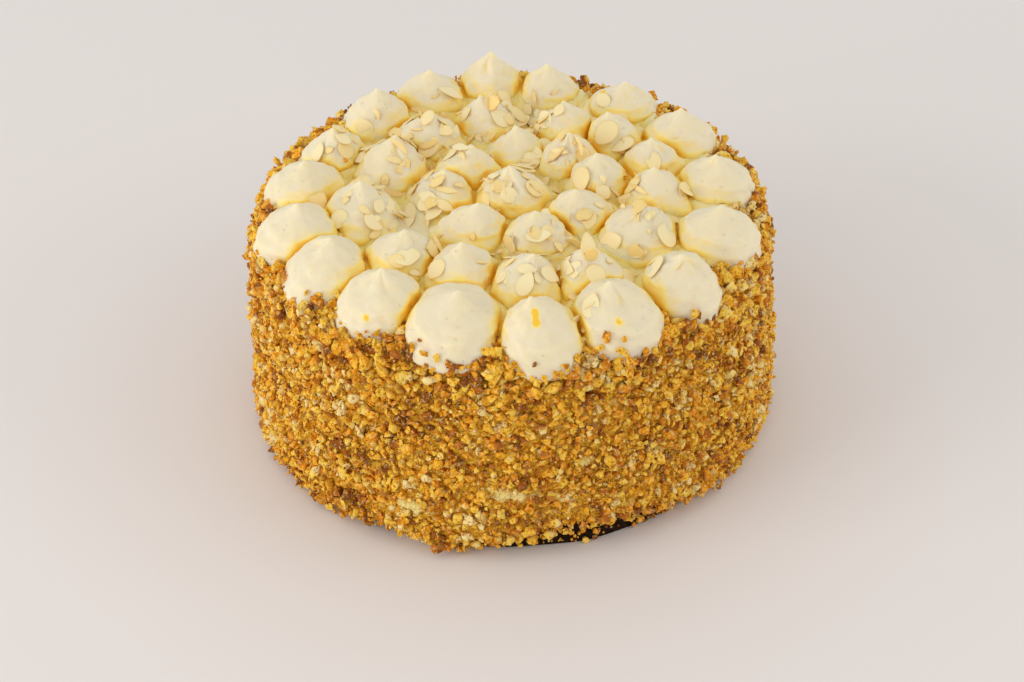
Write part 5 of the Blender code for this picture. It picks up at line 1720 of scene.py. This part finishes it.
def piled_flake_bits(surface):
    """The piles of flakes that fell in the valleys and over the middle."""
    rng = random.Random(SEED + 31)
    bits = []
    for x, y, count, spread in FLAKE_PILES:
        for number in range(count):
            place, normal = drop_on(surface, rng.gauss(x, spread), rng.gauss(y, spread))
            sliver = rng.random() < 0.4
            lie = (normal + UP * rng.uniform(0.2, 1.2)).normalized()
            tilt = Matrix.Rotation(rng.uniform(-0.35, 0.35), 3, "X")
            spin = Matrix.Rotation(any_turn(rng), 3, "Z")
            turn = facing(lie) @ tilt @ spin
            length = rng.uniform(4.0, 9.0) if sliver else rng.uniform(7.0, 12.0)
            width = rng.uniform(0.16, 0.3) if sliver else rng.uniform(0.5, 0.72)
            size = Vector((length, length * width, rng.uniform(*SEEN_THICKNESS))) * MM
            tone = rng.uniform(0.3, 1.0) if sliver else rng.random() ** 1.5
            lift = (0.15 + 0.12 * number) * MM
            bits.append(Bit(place + lie * lift, turn, size, rng.randrange(FLAKE_SHAPES), tone))
    return bits


class TORTE_OT_almonds(bpy.types.Operator):
    """Strews the almond flakes over the dollops"""
    bl_idname = "torte.almonds"
    bl_label = "Almond flakes"

    def execute(self, context):
        shape_rng = random.Random(SEED + 11)
        shapes = new_collection("flake_shapes")
        for number in range(FLAKE_SHAPES):
            shape, marks = flake_shape(shape_rng, broken=number >= FLAKE_SHAPES - BROKEN_SHAPES)
            mesh = mesh_of(f"flake_{number}", shape, sharp_from=50.0)
            note(mesh, "rim", marks)
            new_object(mesh.name, mesh, shapes)
        finish = almond_flake(context.scene.torte_colours)
        surface = cream_surface()
        bits = (flake_bits(surface) + more_flake_bits(surface) + seen_flake_bits(surface)
                + piled_flake_bits(surface))
        flakes = place_bits("almond_flakes", bits, shapes, finish)
        drop_shapes(shapes)
        finish_piece(flakes, finish, "cream", *("dollop_" + name for name in FLAKES))
        return {"FINISHED"}


class TORTE_OT_stage(bpy.types.Operator):
    """Sets the table, the soft light and the camera"""
    bl_idname = "torte.stage"
    bl_label = "Table, light and camera"

    def execute(self, context):
        scene = context.scene
        light = scene.torte_light
        shape = bmesh.new()
        bmesh.ops.create_grid(shape, x_segments=2, y_segments=2, size=TABLE_SIZE)
        table = new_object("table", mesh_of("table", shape))
        table.data.materials.append(table_paper(scene.torte_colours))
        world = bpy.data.worlds.new("soft_room")
        world.use_nodes = True
        sky = world.node_tree.nodes["Background"]
        fill(world.node_tree, sky, {"Color": linear("#FFFFFF"), "Strength": light.sky})
        scene.world = world
        for name, power, place in (("left", light.left, LEFT_LAMP), ("right", light.right, RIGHT_LAMP)):
            lamp = bpy.data.lights.new(name, "AREA")
            lamp.energy = power
            lamp.size = LAMP_SIZE
            lamp.color = linear(LAMP_COLOUR)[:3]
            stand = new_object(name, lamp)
            stand.location = place
            stand.rotation_euler = (LAMPS_POINT_AT - place).to_track_quat("-Z", "Y").to_euler()
        tilt = math.radians(CAMERA_TILT)
        back = Vector((0.0, -math.cos(tilt), math.sin(tilt)))
        lens = bpy.data.cameras.new("camera")
        lens.lens = CAMERA_LENS
        lens.sensor_width = SENSOR_WIDTH
        camera = new_object("camera", lens)
        camera.location = CAMERA_TARGET + back * CAMERA_DISTANCE
        roll = Quaternion(UP, math.radians(CAMERA_ROLL))
        camera.rotation_euler = ((-back).to_track_quat("-Z", "Y") @ roll).to_euler()
        scene.camera = camera
        scene.view_settings.view_transform = "Standard"
        return {"FINISHED"}


class TORTE_PT_panel(bpy.types.Panel):
    """The torte's pieces and settings, in the 3D view's sidebar"""
    bl_idname = "TORTE_PT_panel"
    bl_label = "Walnut torte"
    bl_space_type = "VIEW_3D"
    bl_region_type = "UI"
    bl_category = "Torte"

    def draw(self, context):
        layout = self.layout
        for operator in OPERATORS:
            layout.operator(operator.bl_idname)
        for settings in (context.scene.torte_nuts, context.scene.torte_light,
                         context.scene.torte_colours):
            box = layout.box()
            for name in settings.__annotations__:
                box.prop(settings, name)


OPERATORS = (TORTE_OT_coat, TORTE_OT_top_cream, TORTE_OT_dollops, TORTE_OT_hollows,
             TORTE_OT_coarse_walnuts, TORTE_OT_chopped_walnuts, TORTE_OT_sponge,
             TORTE_OT_almonds, TORTE_OT_stage)
SETTINGS = (TorteColours, TorteNuts, TorteLight)


def register():
    for kind in (*SETTINGS, *OPERATORS, TORTE_PT_panel):
        bpy.utils.register_class(kind)
    bpy.types.Scene.torte_colours = bpy.props.PointerProperty(type=TorteColours)
    bpy.types.Scene.torte_nuts = bpy.props.PointerProperty(type=TorteNuts)
    bpy.types.Scene.torte_light = bpy.props.PointerProperty(type=TorteLight)


def unregister():
    del bpy.types.Scene.torte_light
    del bpy.types.Scene.torte_nuts
    del bpy.types.Scene.torte_colours
    for kind in reversed((*SETTINGS, *OPERATORS, TORTE_PT_panel)):
        bpy.utils.unregister_class(kind)


def main():
    register()
    for old in [thing for thing in bpy.data.objects if thing.name in ("Cube", "Light", "Camera")]:
        bpy.data.objects.remove(old, do_unlink=True)
    bpy.ops.torte.coat()
    bpy.ops.torte.top_cream()
    bpy.ops.torte.dollops()
    bpy.ops.torte.hollows()
    bpy.ops.torte.coarse_walnuts()
    bpy.ops.torte.chopped_walnuts()
    bpy.ops.torte.sponge()
    bpy.ops.torte.almonds()
    bpy.ops.torte.stage()


if __name__ == "__main__":
    main()
